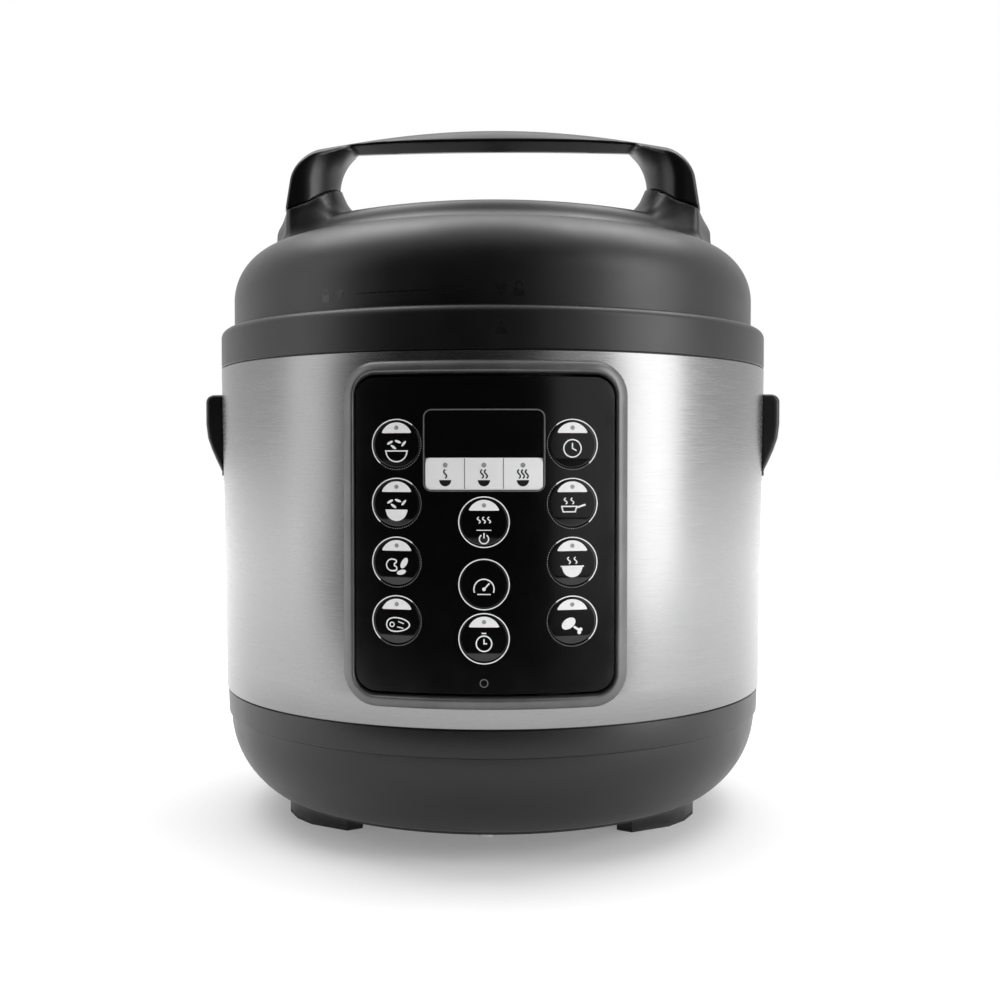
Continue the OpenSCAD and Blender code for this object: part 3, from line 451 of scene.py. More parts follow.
bowl = arc(83.2, 46.9, 43, -2, -53, 28)
bowl_inside = arc(83.2, 46.9, 40.4, -50, -2, 20)
base_profile = (
    rounded([(124.8, 62, 0.4), (127, 62, 0.4), (127, 58.02), (127.7, 58, 0.5), (127.3, 47.2, 0.5),
             (126.25, 46.0, 0.3)], 3)
    + bowl
    + [(107.6, 12), (106.2, 12), (106.2, 12.8), (94, 12.8), (94, 15.2), (107.6, 15.2)]
    + bowl_inside
    + [(124.2, 48), (124.8, 58)]
)
inlet_block = loft(
    [[(u, y, 40.5 + v) for u, v in rect_loop(w, h, r)] for y, w, h, r in (
        (113, 40, 27, 2.5), (126.7, 40, 27, 2.5), (127.3, 39.4, 26.4, 2.2), (127.5, 38.6, 25.6, 2))]
    + [[(u, y, 40 + v) for u, v in rect_loop(25.4, 17.4, 1)] for y in (127.5, 113)],
    closed=True,
)
build("base_bowl", *join(lathe(base_profile, 192), inlet_block), "base", "black_satin_plastic", SATIN,
      ["base_housing"], outward=True)

COLLAR_R = 130.0
collar_profile = (
    [(128.9, 207), (129.7, 207), (130, 207.3)]
    + arc(126.3, 220.9, 3.7, 0, 90, 10)
    + rounded([(124.9, 224.6, 0.6), (124.9, 216, 0.8), (119.9, 216), (119.9, 213.4), (126.6, 213.4),
               (126.6, 202), (128.9, 202)], 3)
)


def spout(x, y, z):
    shape = box_field(x, y, z, (-20, 126, 207), (20, 145, 219), 2.2)
    shape = fillet_union(shape, box_field(x, y, z, (-20, 130.6, 204.6), (20, 145, 212), 1.5), 0.5)
    channel = box_field(x, y, z, (-3, 118, 216), (3, 137, 224), 0.5)
    drain = np.hypot(x, y - 137) - 3
    return fillet_cut(shape, -np.minimum(channel, drain), 0.7)


build("collar_ring", *lathe(collar_profile, 192), "base", "black_satin_plastic", SATIN, ["top_collar"],
      outward=True)
build("collar_spout", *surface(spout, (-22, 123, 202), (22, 147, 222), 0.8), "base",
      "black_satin_plastic", SATIN)

# ---------------------------------------------------------------- lid

SKIRT_R = 123.9
SHOULDER_X, SHOULDER_Z, SHOULDER_R, SHOULDER_END = 97.9, 238.5, 26, math.radians(78)
CROWN_TOP = 276
CROWN_REACH = SHOULDER_X + SHOULDER_R * math.cos(SHOULDER_END)
CROWN_RISE = CROWN_TOP - SHOULDER_Z - SHOULDER_R * math.sin(SHOULDER_END)
CROWN_R = (CROWN_REACH ** 2 + CROWN_RISE ** 2) / (2 * CROWN_RISE)
EYE_HALF_LENGTH, EYE_HALF_WIDTH = 105, 54
EYE_R = (EYE_HALF_LENGTH ** 2 + EYE_HALF_WIDTH ** 2) / (2 * EYE_HALF_WIDTH)
LID_THICK = 2.6
WELL_Y = 72
POST_HALF_WIDTH, POST_X, POST_R, POST_OUTER_R = 22, 100.1, 25.1, 99.4
STUB_GAP = 0.4


def dome_field(r, z):
    """Lid's dome: skirt, shoulder arc and shallow crown."""
    across, up = r - SHOULDER_X, z - SHOULDER_Z
    over = up * math.cos(SHOULDER_END) - across * math.sin(SHOULDER_END) > 0
    crown = np.hypot(r, z - CROWN_TOP + CROWN_R) - CROWN_R
    shoulder = np.hypot(across, up) - SHOULDER_R
    return np.where(z < SHOULDER_Z, r - SKIRT_R, np.where(over, crown, shoulder))


def saddle_field(x, y, z, inset=0.0):
    """Raised eye-shaped platform between the grip's posts."""
    eye = np.hypot(x, np.abs(y) + EYE_R - EYE_HALF_WIDTH) - EYE_R + inset
    top = z - (281.3 - x * x / 4000) + inset
    return fillet_cut(eye, top, 5.0)


def parting_planes(x):
    """Heights of the two slopes where the grip's posts meet the lid's stubs."""
    return 283.6 - 0.297 * (x - 97.6), 286.9 - 0.774 * (x - 86.5)


def post_plan(x, y, flare):
    """Plan of a post, whose inner face moves inwards by flare."""
    return fillet_cut(np.abs(y) - POST_HALF_WIDTH, np.hypot(x - POST_X + flare, y) - POST_R, 1.5)


def lid_field(x, y, z):
    r, ax = np.hypot(x, y), np.abs(x)
    dome = dome_field(r, z)
    solid = fillet_union(dome, saddle_field(x, y, z), 9.0)
    flare = 1.1 + 0.46 * np.clip(295.1 - z, 0, 14)
    stub = fillet_cut(post_plan(ax, y, flare) * 0.9, r - POST_OUTER_R, 1.8)
    stub = fillet_cut(stub, (z - np.maximum(*parting_planes(ax)) + STUB_GAP) * 0.85, 0.7)
    stub = np.maximum(stub, 255 - z)
    solid = fillet_union(solid, stub, 11.0)
    hollow = np.minimum(dome + LID_THICK, np.maximum(saddle_field(x, y, z, LID_THICK), r - 84))
    for angle in (45, 135, 225, 315):
        boss = around_axis(x, y, 85, angle) - 5
        hollow = fillet_cut(hollow, -np.maximum(boss, 221.4 - z), 0.6)
    well = np.hypot(x, y - WELL_Y)
    hollow = fillet_cut(hollow, -np.maximum(well - 21, 257.8 - z), 0.6)
    solid = fillet_cut(solid, -hollow, 0.5)
    solid = fillet_cut(solid, 218 - z, 0.8)
    solid = fillet_cut(solid, -fillet_cut(well - 19, 260 - z, 0.8), 1.2)
    solid = fillet_cut(solid, 4.6 - well, 0.4)
    return fillet_cut(solid, 5 - np.hypot(x + 36, y - 64), 1.0)


build("lid_shell", *surface(lid_field, (-127, -127, 215), (127, 127, 299), 1.25), "lid",
      "black_satin_plastic", SATIN, ["lid_cover", "grip_feet"], crease=0)

GRIP_TOP, GRIP_TOP_R = 324.75, 372.0
OPENING_CORNER_R = 24.3


def grip_field(x, y, z):
    """Grip: an arched bar that widens towards its two posts, whose feet follow the parting planes."""
    r, ax, ay = np.hypot(x, y), np.abs(x), np.abs(y)
    side = r - POST_OUTER_R + 0.16 * (z - 288)
    half_width = 13.2 + x * x / 820
    crown = (8.2 - 3.8 * np.minimum(ax / 90, 1.1) ** 4) / half_width ** 2
    top = np.hypot(x, z - (GRIP_TOP - GRIP_TOP_R)) - (GRIP_TOP_R - crown * y * y)
    outer = fillet_cut(side, top / np.sqrt(1 + (2 * crown * y) ** 2), 12.0)
    under = z - (314.7 - ax * ax / 4000 + 0.22 * ay)
    bar = np.maximum(fillet_cut((ay - half_width) * 0.95, -under, 0.4), ax - 98)
    rise = np.clip(z - 295.8, 0, 18)
    flare = OPENING_CORNER_R - np.sqrt(OPENING_CORNER_R ** 2 - rise ** 2)
    body = fillet_union(post_plan(ax, y, flare) * 0.8, bar, 1.5)
    body = fillet_cut(body, outer, 1.2)
    gentle, steep = parting_planes(ax)
    foot = fillet_cut(gentle - z, (steep - z) * 0.8, 0.3)
    return fillet_cut(body, np.where(ax < 73.5, -5.0, foot), 0.6)


build("grip_arch", *surface(grip_field, (-102, -25, 279), (102, 25, 328), 0.8), "lid",
      "black_satin_plastic", GRIP, ["lid_grip"], crease=0)

# ---------------------------------------------------------------- side handles


def handle_field(x, y, z):
    """Right side handle: a wedge that leans out, a block behind it and a finger pocket from below."""
    r, ay = np.hypot(x, y), np.abs(y)
    face = np.interp(z, (159, 163.8, 169.2, 174.5, 181), (130.1, 132.4, 134.7, 136.5, 137.3))
    wedge = fillet_cut((r - face) * 0.9, z - 195.0, 3.6)
    wedge = fillet_cut(wedge, ay - 30, 1.6)
    wedge = np.maximum(wedge, np.maximum(129.3 - r, 159 - z))
    block = np.maximum(np.maximum(115 - r, r - 130.3), np.maximum(np.maximum(157 - z, z - 192.6), ay - 24.5))
    pocket = np.maximum(np.maximum(117 - r, r - 134.2), np.maximum(163.3 - z, z - 189.2))
    below = np.maximum(129.4 - r, z - 176.5)
    pocket = fillet_cut(np.minimum(pocket, below), ay - 22, 2.0)
    return fillet_cut(np.minimum(wedge, block), -pocket, 0.9)


for side, name in ((1, "right"), (-1, "left")):
    points, faces = surface(handle_field, (112, -32, 154), (141, 32, 198), 0.8)
    points = points * np.array([side, 1, 1])
    if side < 0:
        faces = faces[:, ::-1]
    build("handle_" + name, points, faces, "base", "black_satin_plastic", SATIN, ["side_handle_" + name],
          crease=0)

# ---------------------------------------------------------------- key panel

PANEL_Z = 134.8
PANEL_FRONT_R, STRIP_FRONT_R, KEY_FRONT_R, LENS_FRONT_R = 132.6, 132.5, 132.8, 132.94
KEY_R, KEY_FLANGE_R, KEY_STEM_R, KEY_RING_R, KEY_SIDES = 9.2, 10.2, 2.0, 9.75, 72
# Each step is an inset from the frame's outline and a distance from the body's axis
bezel_steps = [
    (0.0, 129.9), (0.0, 131.3), (0.12, 131.7), (0.5, 132.2), (1.1, 132.7), (1.9, 133.12), (2.8, 133.42),
    (3.6, 133.56), (4.0, 133.5), (4.3, 133.2), (4.6, 132.7), (4.95, 131.9), (5.15, 131.35), (5.2, 131.05),
    (5.25, 130.4), (2.0, 130.0),
]
bezel_loops = [
    [on_wall(u, PANEL_Z + v, radius)
     for u, v in rect_loop(112.6 - 2 * i, 135.6 - 2 * i, 13.5 - i * 5.5 / 5.2, 40, 12, 10)]
    for i, radius in bezel_steps
]
build("panel_frame", *loft(bezel_loops, closed=True), "base", "grey_bezel", BEZEL, ["panel_bezel"],
      outward=True, crease=60)

KEYS = {}
for row, z in enumerate((170.0, 147.1, 124.2, 101.3)):
    KEYS["key_left_%d" % (row + 1)] = (-34.2, z)
    KEYS["key_right_%d" % (row + 1)] = (34.2, z)
for row, z in enumerate((140.0, 115.9, 94.9)):
    KEYS["key_mid_%d" % (row + 1)] = (0.0, z)
FACET_V, FACET_SLOPE = -5.7, math.tan(math.radians(13))


def key_mesh(x0, z0, facet):
    """Round key with softened rim, a lower facet, a flange behind the panel and a stem."""
    def front(r, drop):
        loop = []
        for s in range(KEY_SIDES):
            a = 2 * math.pi * s / KEY_SIDES
            u, v = r * math.cos(a), r * math.sin(a)
            lean = max(0.0, FACET_V - v) * FACET_SLOPE if facet else 0.0
            loop.append(on_wall(x0 + u, z0 + v, KEY_FRONT_R - drop - lean))
        return loop

    loops = [front(r, 0.0) for r in np.linspace(0.3, 8.9, 24)]
    loops += [front(9.06, 0.04), front(9.16, 0.14), front(KEY_R, 0.3)]

    def ring(r, radius):
        turns = [2 * math.pi * s / KEY_SIDES for s in range(KEY_SIDES)]
        return [on_wall(x0 + r * math.cos(a), z0 + r * math.sin(a), radius) for a in turns]

    loops += [ring(KEY_R, 130.6), ring(KEY_FLANGE_R, 130.6), ring(KEY_FLANGE_R, 129.2), ring(KEY_STEM_R, 129.2)]
    loops.append([(p[0], -122.8, p[2]) for p in ring(KEY_STEM_R, 129.2)])
    return loft(loops)


# Flat artwork: points (u, v) and faces, laid on a wall as a thin solid


def stroke(line, width, closed=False, step=1.0):
    """Strip of quads along a line, cut short enough to follow the wall."""
    ends = list(line) + ([line[0]] if closed else [])
    p = []
    for a, b in zip(ends[:-1], ends[1:]):
        parts = max(1, int(math.ceil(math.dist(a, b) / step)))
        p += [(a[0] + (b[0] - a[0]) * i / parts, a[1] + (b[1] - a[1]) * i / parts) for i in range(parts)]
    if not closed:
        p.append(ends[-1])
    p = np.array(p, float)
    if closed:
        before, after = np.roll(p, 1, 0), np.roll(p, -1, 0)
    else:
        before = np.vstack([2 * p[0] - p[1], p[:-1]])
        after = np.vstack([p[1:], 2 * p[-1] - p[-2]])
    d1, d2 = p - before, after - p
    n1 = np.stack([-d1[:, 1], d1[:, 0]], 1) / np.linalg.norm(d1, axis=1)[:, None]
    n2 = np.stack([-d2[:, 1], d2[:, 0]], 1) / np.linalg.norm(d2, axis=1)[:, None]
    m = (n1 + n2) / np.maximum(np.linalg.norm(n1 + n2, axis=1), 1e-6)[:, None]
    m = m * (width / 2 / np.maximum((m * n1).sum(1), 0.6))[:, None]
    count = len(p)
    quads = count if closed else count - 1
    faces = [(i, (i + 1) % count, count + (i + 1) % count, count + i) for i in range(quads)]
    return [tuple(q) for q in np.vstack([p + m, p - m])], faces


def disc(u, v, r, sides=20):
    points = [(u, v)] + [(u + r * math.cos(2 * math.pi * i / sides), v + r * math.sin(2 * math.pi * i / sides))
                         for i in range(sides)]
    return points, [(0, 1 + (i + 1) % sides, 1 + i) for i in range(sides)]


def strips(outline, u0, u1, parts):
    """Area between two heights, outline(t) giving (low, high) at share t of the way across."""
    points = []
    for i in range(parts + 1):
        t = i / parts
        low, high = outline(t)
        u = u0 + (u1 - u0) * t
        points += [(u, low), (u, (low + high) / 2), (u, high)]
    faces = []
    for i in range(parts):
        for k in (0, 1):
            a = i * 3 + k
            faces.append((a, a + 1, a + 4, a + 3))
    return points, faces


def moved(shape, u, v, size=1.0, turn=0.0):
    c, s = math.cos(math.radians(turn)) * size, math.sin(math.radians(turn)) * size
    return [(u + p[0] * c - p[1] * s, v + p[0] * s + p[1] * c) for p in shape[0]], shape[1]


def printed(name, shapes, body, slot, mat, radius, turn=0.0, proud=0.05, sunk=0.04):
    """Artwork on a wall of that radius, as thin closed solids, turned about the axis by turn degrees."""
    points, faces = [], []
    c, s = math.cos(math.radians(turn)), math.sin(math.radians(turn))
    for shape_points, shape_faces in shapes:
        base, count = len(points), len(shape_points)
        for r in (radius + proud, radius - sunk):
            for u, v in shape_points:
                x, y, z = on_wall(u, v, r)
                points.append((x * c - y * s, x * s + y * c, z))
        used = {}
        for face in shape_faces:
            faces.append(tuple(base + i for i in face))
            faces.append(tuple(base + count + i for i in reversed(face)))
            for a, b in zip(face, face[1:] + face[:1]):
                used[frozenset((a, b))] = None if frozenset((a, b)) in used else (a, b)
        for pair in used.values():
            if pair:
                a, b = pair
                faces.append((base + b, base + a, base + count + a, base + count + b))
    return build(name, points, faces, body, slot, mat, outward=True, crease=40)


def ring_line(u, v, r, start=0.0, end=360.0):
    closed = end - start >= 360
    line = arc(u, v, r, start, end, max(6, int(r * abs(end - start) / 40)))
    return line[:-1] if closed else line


def lens_outline(t):
    low = 0.0 if 0.03 < t < 0.97 else 0.25
    return low, max(0.35, math.sqrt(max(0.0, 6.4 ** 2 - (11.7 * (t - 0.5)) ** 2)) - 2.25)


LENS_SHAPE = strips(lens_outline, -5.85, 5.85, 24)
HALF_BOWL = strips(lambda t: (-2.4 * math.sqrt(max(0.02, 1 - (2 * t - 1) ** 2)), 0.0), -2.35, 2.35, 14)


def wisp(u, v, height=3.4, width=0.55):
    line = [(u + 0.55 * math.sin(t * 2 * math.pi), v + height * t) for t in np.linspace(0, 1, 13)]
    return stroke(line, width)


def bowl_icon(u, v, wisps):
    shapes = [moved(HALF_BOWL, u, v)]
    return shapes + [wisp(u + (i - (wisps - 1) / 2) * 1.5, v + 0.7) for i in range(wisps)]


def grain(u, v, turn, a=1.35, b=0.5, sides=14):
    """Filled ellipse, for grains, beans and meat."""
    ring = [(a * math.cos(t), b * math.sin(t)) for t in np.linspace(0, 2 * math.pi, sides, endpoint=False)]
    shape = ([(0, 0)] + ring, [(0, 1 + (i + 1) % sides, 1 + i) for i in range(sides)])
    return moved(shape, u, v, 1.0, turn)


W = 0.5
FOUR_GRAINS = [grain(-2.6, 1.6, 30), grain(0.6, 2.0, -20), grain(2.9, 1.2, 50), grain(-1.2, -0.1, -35)]
SYMBOLS = {
    "key_left_1": FOUR_GRAINS + [stroke([(-4.6, -1.6), (4.6, -1.6)], W),
                                  stroke(arc(0, -1.6, 4.2, 180, 360, 14), W)],
    "key_left_2": FOUR_GRAINS + [moved(HALF_BOWL, 0, -1.5, 1.85)],
    "key_left_3": [stroke(arc(-1.8, -0.2, 2.3, 60, 300, 14) + arc(-0.9, -1.55, 1.0, -90, 90, 6)
                          + arc(-0.9, 1.2, 0.8, -90, 60, 4), W),
                   grain(3.0, 0.6, 60, 2.3, 1.15), grain(1.9, -3.0, 15, 1.9, 0.95)],
    "key_left_4": [stroke([(4.6 * math.cos(t) + 0.5 * math.cos(2 * t), 2.7 * math.sin(t) - 0.6)
                           for t in np.linspace(0, 2 * math.pi, 28, endpoint=False)], W, True),
                   stroke(ring_line(-1.9, -0.6, 0.9), 0.4, True),
                   stroke([(0.6, 0.6), (2.8, -0.2)], 0.4), stroke([(0.2, -1.5), (2.6, -2.0)], 0.4)],
    "key_right_1": [stroke(ring_line(0, -0.6, 3.4), W, True), stroke([(0, 1.5), (0, -0.6), (1.6, -1.5)], W)],
    "key_right_2": [stroke([(-4.4, -0.2), (1.9, -0.2)], W),
                    stroke([(-4.2, -0.2), (-3.6, -2.3), (1.1, -2.3), (1.7, -0.2)], W),
                    stroke([(1.9, -0.6), (5.2, 0.5)], 0.7),
                    moved(wisp(0, 0, 2.4, 0.45), -2.6, 0.7), moved(wisp(0, 0, 2.4, 0.45), 0.0, 0.7)],
    "key_right_3": [moved(HALF_BOWL, 0, -0.8, 1.7), stroke([(-4.6, -0.6), (4.6, -0.6)], W),
                    wisp(-1.3, 0.4, 2.6, 0.45), wisp(1.3, 0.4, 2.6, 0.45)],
    "key_right_4": [grain(-1.4, 0.0, 35, 3.0, 2.0), stroke([(0.6, -1.2), (3.2, -3.0)], 0.9),
                    disc(3.3, -2.4, 0.75), disc(2.8, -3.5, 0.75)],
    "key_mid_1": [wisp(-2.0, 0.5, 2.4, 0.45), wisp(0.0, 0.5, 2.4, 0.45), wisp(2.0, 0.5, 2.4, 0.45),
                  stroke([(-2.9, -2.2), (2.9, -2.2)], 0.35),
                  stroke(arc(0, -5.6, 1.8, 125, 415, 18), 0.5), stroke([(0, -3.3), (0, -5.3)], 0.5)],
    "key_mid_2": [stroke(arc(0, -0.9, 3.9, -20, 200, 20), W), stroke([(0, -0.9), (2.1, 1.4)], 0.55),
                  disc(0, -0.9, 0.7), stroke([(-2.6, -2.9), (2.6, -2.9)], 0.4)],
    "key_mid_3": [stroke(ring_line(0, -1.0, 3.0), W, True), stroke([(0, 0.8), (0, -1.0), (1.2, -1.0)], W),
                  stroke([(-0.9, 3.0), (0.9, 3.0)], 0.5)],
}

ring_shapes, dots = [], []
for name, (x0, z0) in KEYS.items():
    body = name + "_cap"
    plain = name == "key_mid_2"
    build(name + "_face", *key_mesh(x0, z0, not plain), body, "black_gloss", KEY_FACE, [name], outward=True,
          crease=50)
    printed(name + "_symbol", [moved(s, x0, z0 - 0.9) for s in SYMBOLS[name]], body, "white_strip", INK,
            KEY_FRONT_R)
    if not plain:
        printed(name + "_lens", [moved(LENS_SHAPE, x0, z0 + 4.45)], body, "white_strip", LENS, KEY_FRONT_R,
                proud=0.14, sunk=0.1)
        printed(name + "_led", [disc(x0, z0 + 6.5, 0.85)], body, "led_lens", DOT_INK, LENS_FRONT_R, proud=0.03)
    if x0 == 0:
        ring_shapes.append(stroke(ring_line(x0, z0, KEY_RING_R), 0.42, True))
    else:
        mirror = 1 if x0 < 0 else -1
        solid = arc(0, 0, KEY_RING_R, 50, 228, 40)
        ring_shapes.append(stroke([(x0 + mirror * u, z0 + v) for u, v in solid], 0.42))
        for a in np.radians(np.arange(233, 408, 5.6)):
            dots.append(disc(x0 + mirror * KEY_RING_R * math.cos(a), z0 + KEY_RING_R * math.sin(a), 0.2, 8))
printed("key_rings", ring_shapes, "base", "white_strip", INK, PANEL_FRONT_R)
printed("key_ring_dots", dots, "base", "white_strip", DOT_INK, PANEL_FRONT_R)
outline = [(u, 167.7 + v) for u, v in rect_loop(46.8, 31.4, 3.0)]
printed("display_outline", [stroke(outline, 0.55, True)], "base", "grey_bezel", GREY_INK, PANEL_FRONT_R,
        proud=0.06)
printed("panel_foot_mark", [stroke(ring_line(0, 77.6, 1.5), 0.4, True)], "base", "grey_bezel", GREY_INK,
        PANEL_FRONT_R)

strip_marks = []
for i, x in enumerate((-15.0, 0.0, 15.0)):
    strip_marks += bowl_icon(x, 156.2, i + 1)
printed("strip_icons", strip_marks, "base", "black_gloss", DARK_INK, STRIP_FRONT_R)
printed("strip_dividers", [stroke([(x, 152.9), (x, 164.6)], 0.3) for x in (-7.5, 7.5)], "base",
        "grey_bezel", GREY_INK, STRIP_FRONT_R)
printed("strip_leds", [disc(x, 162.0, 0.95) for x in (-15.0, 0.0, 15.0)], "base", "led_lens", DOT_INK,
        STRIP_FRONT_R)

# Marks on the lid's skirt and the collar: arrows with an open and a closed padlock
TRIANGLE_DOWN = ([(-2.4, 2.2), (2.4, 2.2), (0, -2.4)], [(0, 1, 2)])
TRIANGLE_UP = ([(-2.6, -3.0), (2.6, -3.0), (0, 3.2)], [(0, 1, 2)])


def padlock(u, v, lift):
    block = strips(lambda t: (-2.2, 0.6), -1.9, 1.9, 3)
    line = [(u - 1.2, v + 0.4)] + arc(u, v + 1.4 + lift, 1.2, 180, 0, 8)
    line += [(u + 1.2, v + 0.4 + (lift * 1.6))]
    return [moved(block, u, v), stroke(line, 0.55)]


def bent(u, v):
    """Where a mark at arc length u goes, so that wide marks keep their spacing."""
    return SKIRT_R * math.sin(u / SKIRT_R), v


printed("lid_mark_open", [moved(TRIANGLE_DOWN, 0, 230.6)] + padlock(7.0, 230.4, 0.8), "lid",
        "black_gloss", MARK, SKIRT_R, turn=3.0)
printed("lid_mark_closed", [moved(TRIANGLE_DOWN, 0, 230.6)] + padlock(-7.0, 230.4, 0.0), "lid",
        "black_gloss", MARK, SKIRT_R, turn=-28.5)
printed("lid_mark_line", [stroke([bent(u, 230.6) for u in np.linspace(-26, 26, 40)], 0.6)], "lid",
        "black_gloss", MARK, SKIRT_R, turn=-12.5)
printed("collar_mark", [moved(TRIANGLE_UP, 0, 215.6)], "base", "black_gloss", MARK, COLLAR_R, turn=3.0,
        proud=0.03)

# ---------------------------------------------------------------- pot, seal and pressure lid

pot_profile = (
    [(0, 54.3)] + arc(89.5, 64.3, 10, -90, 0, 10) + [(99.5, 205.0)] + arc(104.9, 206.7, 1.1, -90, 90, 8)
    + arc(99.5, 206.3, 1.5, 90, 180, 5) + arc(89.5, 64.3, 8.5, 0, -90, 10) + [(0, 55.8)]
)
build("cooking_pot", *lathe(pot_profile, 160), "pot", "pot_steel", POT_STEEL, ["inner_pot"], outward=True)
seal_profile = rounded([
    (99.6, 208.1, 0.5), (105.5, 208.1, 0.8), (108.2, 210.5, 0.8), (108.2, 215, 0.4), (105.8, 215, 0.4),
    (105.8, 211.6, 0.4), (102.2, 211.6, 0.4), (102.2, 213.8, 0.5), (99.6, 213.8, 0.5)], 3)
build("lid_seal", *lathe(seal_profile, 144), "gasket", "silicone", SILICONE, ["sealing_ring"], outward=True)

DISH_HALF, DISH_RISE = 96, 9
DISH_R = (DISH_HALF ** 2 + DISH_RISE ** 2) / (2 * DISH_RISE)
DISH_END = math.degrees(math.acos(DISH_HALF / DISH_R))
dish = arc(0, 228 - DISH_R, DISH_R, 90, DISH_END, 24)
dish[0] = (0.0, 228.0)
under_dish = arc(0, 228 - DISH_R, DISH_R - 2.2, DISH_END, 90, 24)
under_dish[-1] = (0.0, 225.8)
pressure_profile = (
    dish
    + rounded([(110.9, 219, 1.6), (110.9, 209, 0.4), (108.6, 209, 0.4), (108.6, 215.3, 0.4),
               (97.4, 215.3, 0.5)], 3)
    + under_dish
)
lug_profile = rounded([(109, 218.4), (116.8, 218.4, 0.6), (116.8, 221.4, 1.2), (109, 221.4)], 3)
lugs = [lathe(lug_profile, 12, (i + 0.5) * 60 - 13, 26) for i in range(6)]
build("pressure_dish", *join(lathe(pressure_profile, 160), *lugs), "lid", "cast_aluminium", CAST,
      ["pressure_lid"], outward=True)

plate_profile = rounded([
    (18, 46), (86, 46), (88, 48, 0.5), (88, 51, 0.5), (86, 53.2, 0.8), (80, 54, 3), (18, 54, 0.4)], 3)
build("hot_plate", *lathe(plate_profile, 144), "base", "cast_aluminium", TURNED, ["heating_plate"], outward=True)

# ---------------------------------------------------------------- valve, drip cup


def valve_field(x, y, z):
    """Release valve about the well's axis: flared foot, round knob, lever and steam holes."""
    r, y = np.hypot(x, y - WELL_Y), y - WELL_Y
    foot = fillet_cut(fillet_cut(r - 15.4, 261.1 - z, 0.8), ((r - 15.4) * 3 + (z - 270) * 4.5) / 5.4, 1.5)
    knob = fillet_cut(r - 8.4, z - 289.8, 1.8)
    lever = box_field(x, y, z, (-4, -15, 262), (4, 15, 287.8), 1.6)
    shape = fillet_union(foot, fillet_union(np.maximum(knob, 262 - z), lever, 1.5), 1.5)
    shape = fillet_cut(shape, -np.maximum(r - 4.3, z - 279), 0.4)
    for angle in (45, 135, 225, 315):
        hole = around_axis(x, y, 5.8, angle) - 1
        shape = fillet_cut(shape, -np.maximum(hole, 280 - z), 0.3)
    return shape


build("release_valve", *surface(valve_field, (-18, 54, 258), (18, 90, 293), 0.65), "valve",
      "black_satin_plastic", SATIN, ["steam_valve"], crease=0)


def cup_loop(inset, z, r):
    return [(u, 144 + v, z) for u, v in rect_loop(56 - 2 * inset, 16 - 2 * inset, r, 4, 2)]


cup_loops = [cup_loop(*c) for c in (
    (1.2, 145, 3.8), (0.35, 145.3, 4.6), (0.0, 146.2, 5), (0.0, 202.6, 5), (0.2, 203, 4.8), (1.6, 203, 3.6),
    (1.8, 202.6, 3.5), (1.8, 148.4, 3.5), (2.4, 147.2, 3), (3.6, 146.8, 2))]
rail = [
    loft([[(u, y, 172.5 + v) for u, v in rect_loop(w - 2 * e, 49 - 2 * e, 1.2)] for y, e in (
        (y0, 0.3), (y0 + 0.3, 0.0), (y1, 0.0))]) for w, y0, y1 in ((30.4, 131.9, 137.0), (34.8, 131.9, 133.6))]
build("drip_cup", *join(loft(cup_loops), *rail), "cup", "smoked_cup", SMOKE, ["condensation_cup"], outward=True)

# ---------------------------------------------------------------- CAD nodes that keep their shape

KEPT = {
    SATIN: ["bottom_cover", "feet", "cup_holder"],
    RUBBER: ["foot_pads"],
    SHEET: ["outer_pot", "gasket_ring", "anti_block_shield"],
    CAST: ["temperature_sensor"],
    ZINC: ["base_screws", "plate_bolts", "sensor_spring", "board_screws", "wall_screws",
           "grip_screws", "lid_screws", "heating_element", "thermal_fuse", "steam_pipe", "float_pin"],
    PART_BLACK: ["pressure_switch", "board_components", "tact_switches", "display_module", "power_inlet"],
    BOARD: ["power_board", "control_board"],
    LED: ["key_leds"],
    GLOSS: ["panel_overlay"],
    WINDOW: ["display_window"],
    STRIP: ["indicator_strip"],
    BRASS: ["inlet_pins"],
    LEAD: ["wiring"],
    FLAT_CABLE: ["ribbon_cable"],
    SILICONE: ["float_seal"],
}
BEVELLED = {"bottom_cover": 0.5, "feet": 0.6, "foot_pads": 0.4, "cup_holder": 0.5, "power_inlet": 0.5,
            "float_pin": 0.4}
for mat, names in KEPT.items():
    for name in names:
        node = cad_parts[name]
        node.data.materials.clear()
        node.data.materials.append(mat)
        node.data.shade_smooth()
        if name in BEVELLED:
            weld = node.modifiers.new("weld", "WELD")
            weld.merge_threshold = 0.00001
            bevel = node.modifiers.new("bevel", "BEVEL")
            bevel.width = BEVELLED[name] * MM
            bevel.segments = 2
            bevel.limit_method = "ANGLE"
            bevel.angle_limit = math.radians(35)
            bevel.harden_normals = True

# ---------------------------------------------------------------- floor, light, camera

# Painted light and shade on the floor: its emission grows with distance from the origin, so far off it glows
# white into the backdrop, and close to the object a painted shadow darkens it round the base
floor_mat = material("floor_paper", (0.82, 0.82, 0.82), 0.7, vary=0.01, grain=(0.8, 0.005), mottle=60,
                     fixed={"Emission Color": (1, 1, 1, 1)})
fn = Nodes(floor_mat.node_tree)
place = fn.add("ShaderNodeTexCoord").outputs["Object"]
far = fn.add("ShaderNodeVectorMath", {0: place}, operation="LENGTH")
painted_floor_glow_and_shadow = fn.remap(far.outputs["Value"], 0.22, 1.1, (0.14, 1.5))
paper = next(n for n in floor_mat.node_tree.nodes if n.type == "BSDF_PRINCIPLED")
floor_mat.node_tree.links.new(painted_floor_glow_and_shadow, paper.inputs["Emission Strength"])
floor_mesh = bpy.data.meshes.new("floor")
REACH, FRONT = 12.0, -0.36
floor_mesh.from_pydata([(-REACH, FRONT, 0), (REACH, FRONT, 0), (REACH, REACH, 0), (-REACH, REACH, 0)], [],
                       [(0, 1, 2, 3)])
floor_mesh.materials.append(floor_mat)
floor = bpy.data.objects.new("floor", floor_mesh)
bpy.context.scene.collection.objects.link(floor)

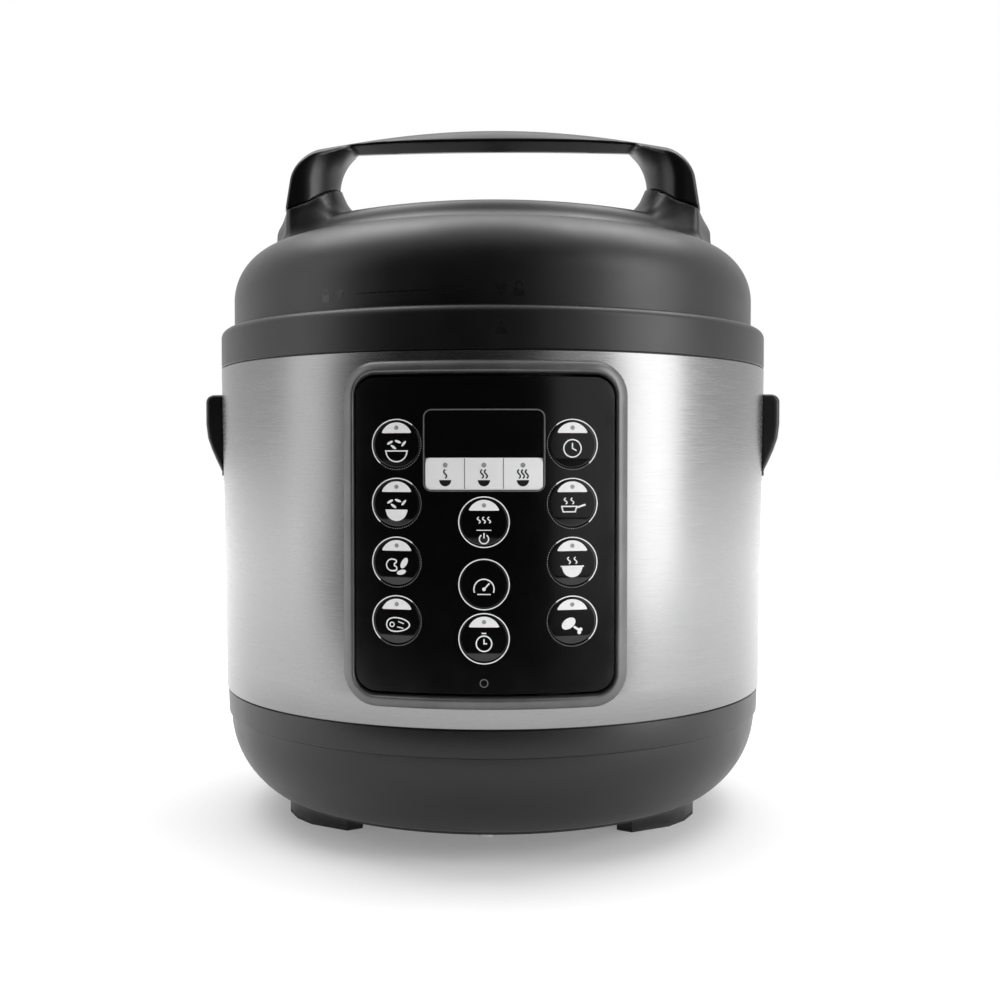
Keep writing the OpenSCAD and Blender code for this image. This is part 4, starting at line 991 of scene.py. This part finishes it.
world = bpy.data.worlds.new("studio")
bpy.context.scene.world = world
world.use_nodes = True
world.node_tree.nodes.clear()
wn = Nodes(world.node_tree)
seen = wn.add("ShaderNodeLightPath").outputs["Is Camera Ray"]
backdrop = wn.add("ShaderNodeBackground", {"Color": (1, 1, 1, 1), "Strength": 1.0})
direction = wn.add("ShaderNodeTexCoord").outputs["Generated"]
toward = wn.add("ShaderNodeSeparateXYZ", {"Vector": direction}).outputs[1]
level = wn.remap(toward, 0.02, 0.85, (-0.6, -0.36))
room = wn.add("ShaderNodeBackground", {"Color": (1, 1, 1, 1), "Strength": level})
blend = wn.add("ShaderNodeMixShader", {0: seen, 1: room.outputs[0], 2: backdrop.outputs[0]})
wn.add("ShaderNodeOutputWorld", {"Surface": blend.outputs[0]})


def softbox(name, azimuth, distance, height, width, tall, radiance, aim=(0.0, 0.15)):
    """Soft rectangular light at an azimuth from the panel's side, aimed at the object."""
    light = bpy.data.lights.new(name, "AREA")
    light.shape = "RECTANGLE"
    light.size, light.size_y = width, tall
    light.energy = radiance * math.pi * width * tall
    obj = bpy.data.objects.new(name, light)
    bpy.context.scene.collection.objects.link(obj)
    a = math.radians(azimuth)
    x, y = distance * math.sin(a), AXIS_Y - distance * math.cos(a)
    obj.location = (x, y, height)
    dx, dy, dz = -x, AXIS_Y - y, aim[1] - height
    flat = math.hypot(dx, dy)
    obj.rotation_euler = (math.atan2(flat, -dz), 0.0, math.atan2(dy, dx) - math.pi / 2)


softbox("key_right", 64, 1.5, 0.5, 0.8, 1.3, 3.6)
softbox("fill_right", 34, 1.6, 0.5, 0.6, 1.2, 0.6)
softbox("side_left", -74, 1.5, 0.55, 0.6, 1.2, 1.0)
softbox("rim_left", -115, 1.0, 1.9, 1.1, 1.1, 3.4)
softbox("rim_right", 115, 1.0, 1.9, 1.1, 1.1, 3.4)
softbox("top", 180, 0.5, 1.6, 1.4, 1.0, 1.7, aim=(0.0, 0.0))

# The camera's place in metres and degrees; SIDEWAYS moves it along its own horizontal
DISTANCE, AZIMUTH, HEIGHT, PITCH, SIDEWAYS = 0.6086, 1.2, 0.162, 1.617, 0.0034
camera_data = bpy.data.cameras.new("camera")
camera_data.sensor_width = 36.0
camera_data.lens = 44.507
camera_data.clip_start, camera_data.clip_end = 0.01, 50.0
camera = bpy.data.objects.new("camera", camera_data)
bpy.context.scene.collection.objects.link(camera)
turn = math.radians(AZIMUTH)
camera.location = (DISTANCE * math.sin(turn) + SIDEWAYS * math.cos(turn),
                   AXIS_Y - DISTANCE * math.cos(turn) + SIDEWAYS * math.sin(turn), HEIGHT)
camera.rotation_euler = (math.radians(90 - PITCH), 0.0, turn)
bpy.context.scene.camera = camera
bpy.context.scene.view_settings.view_transform = "Standard"
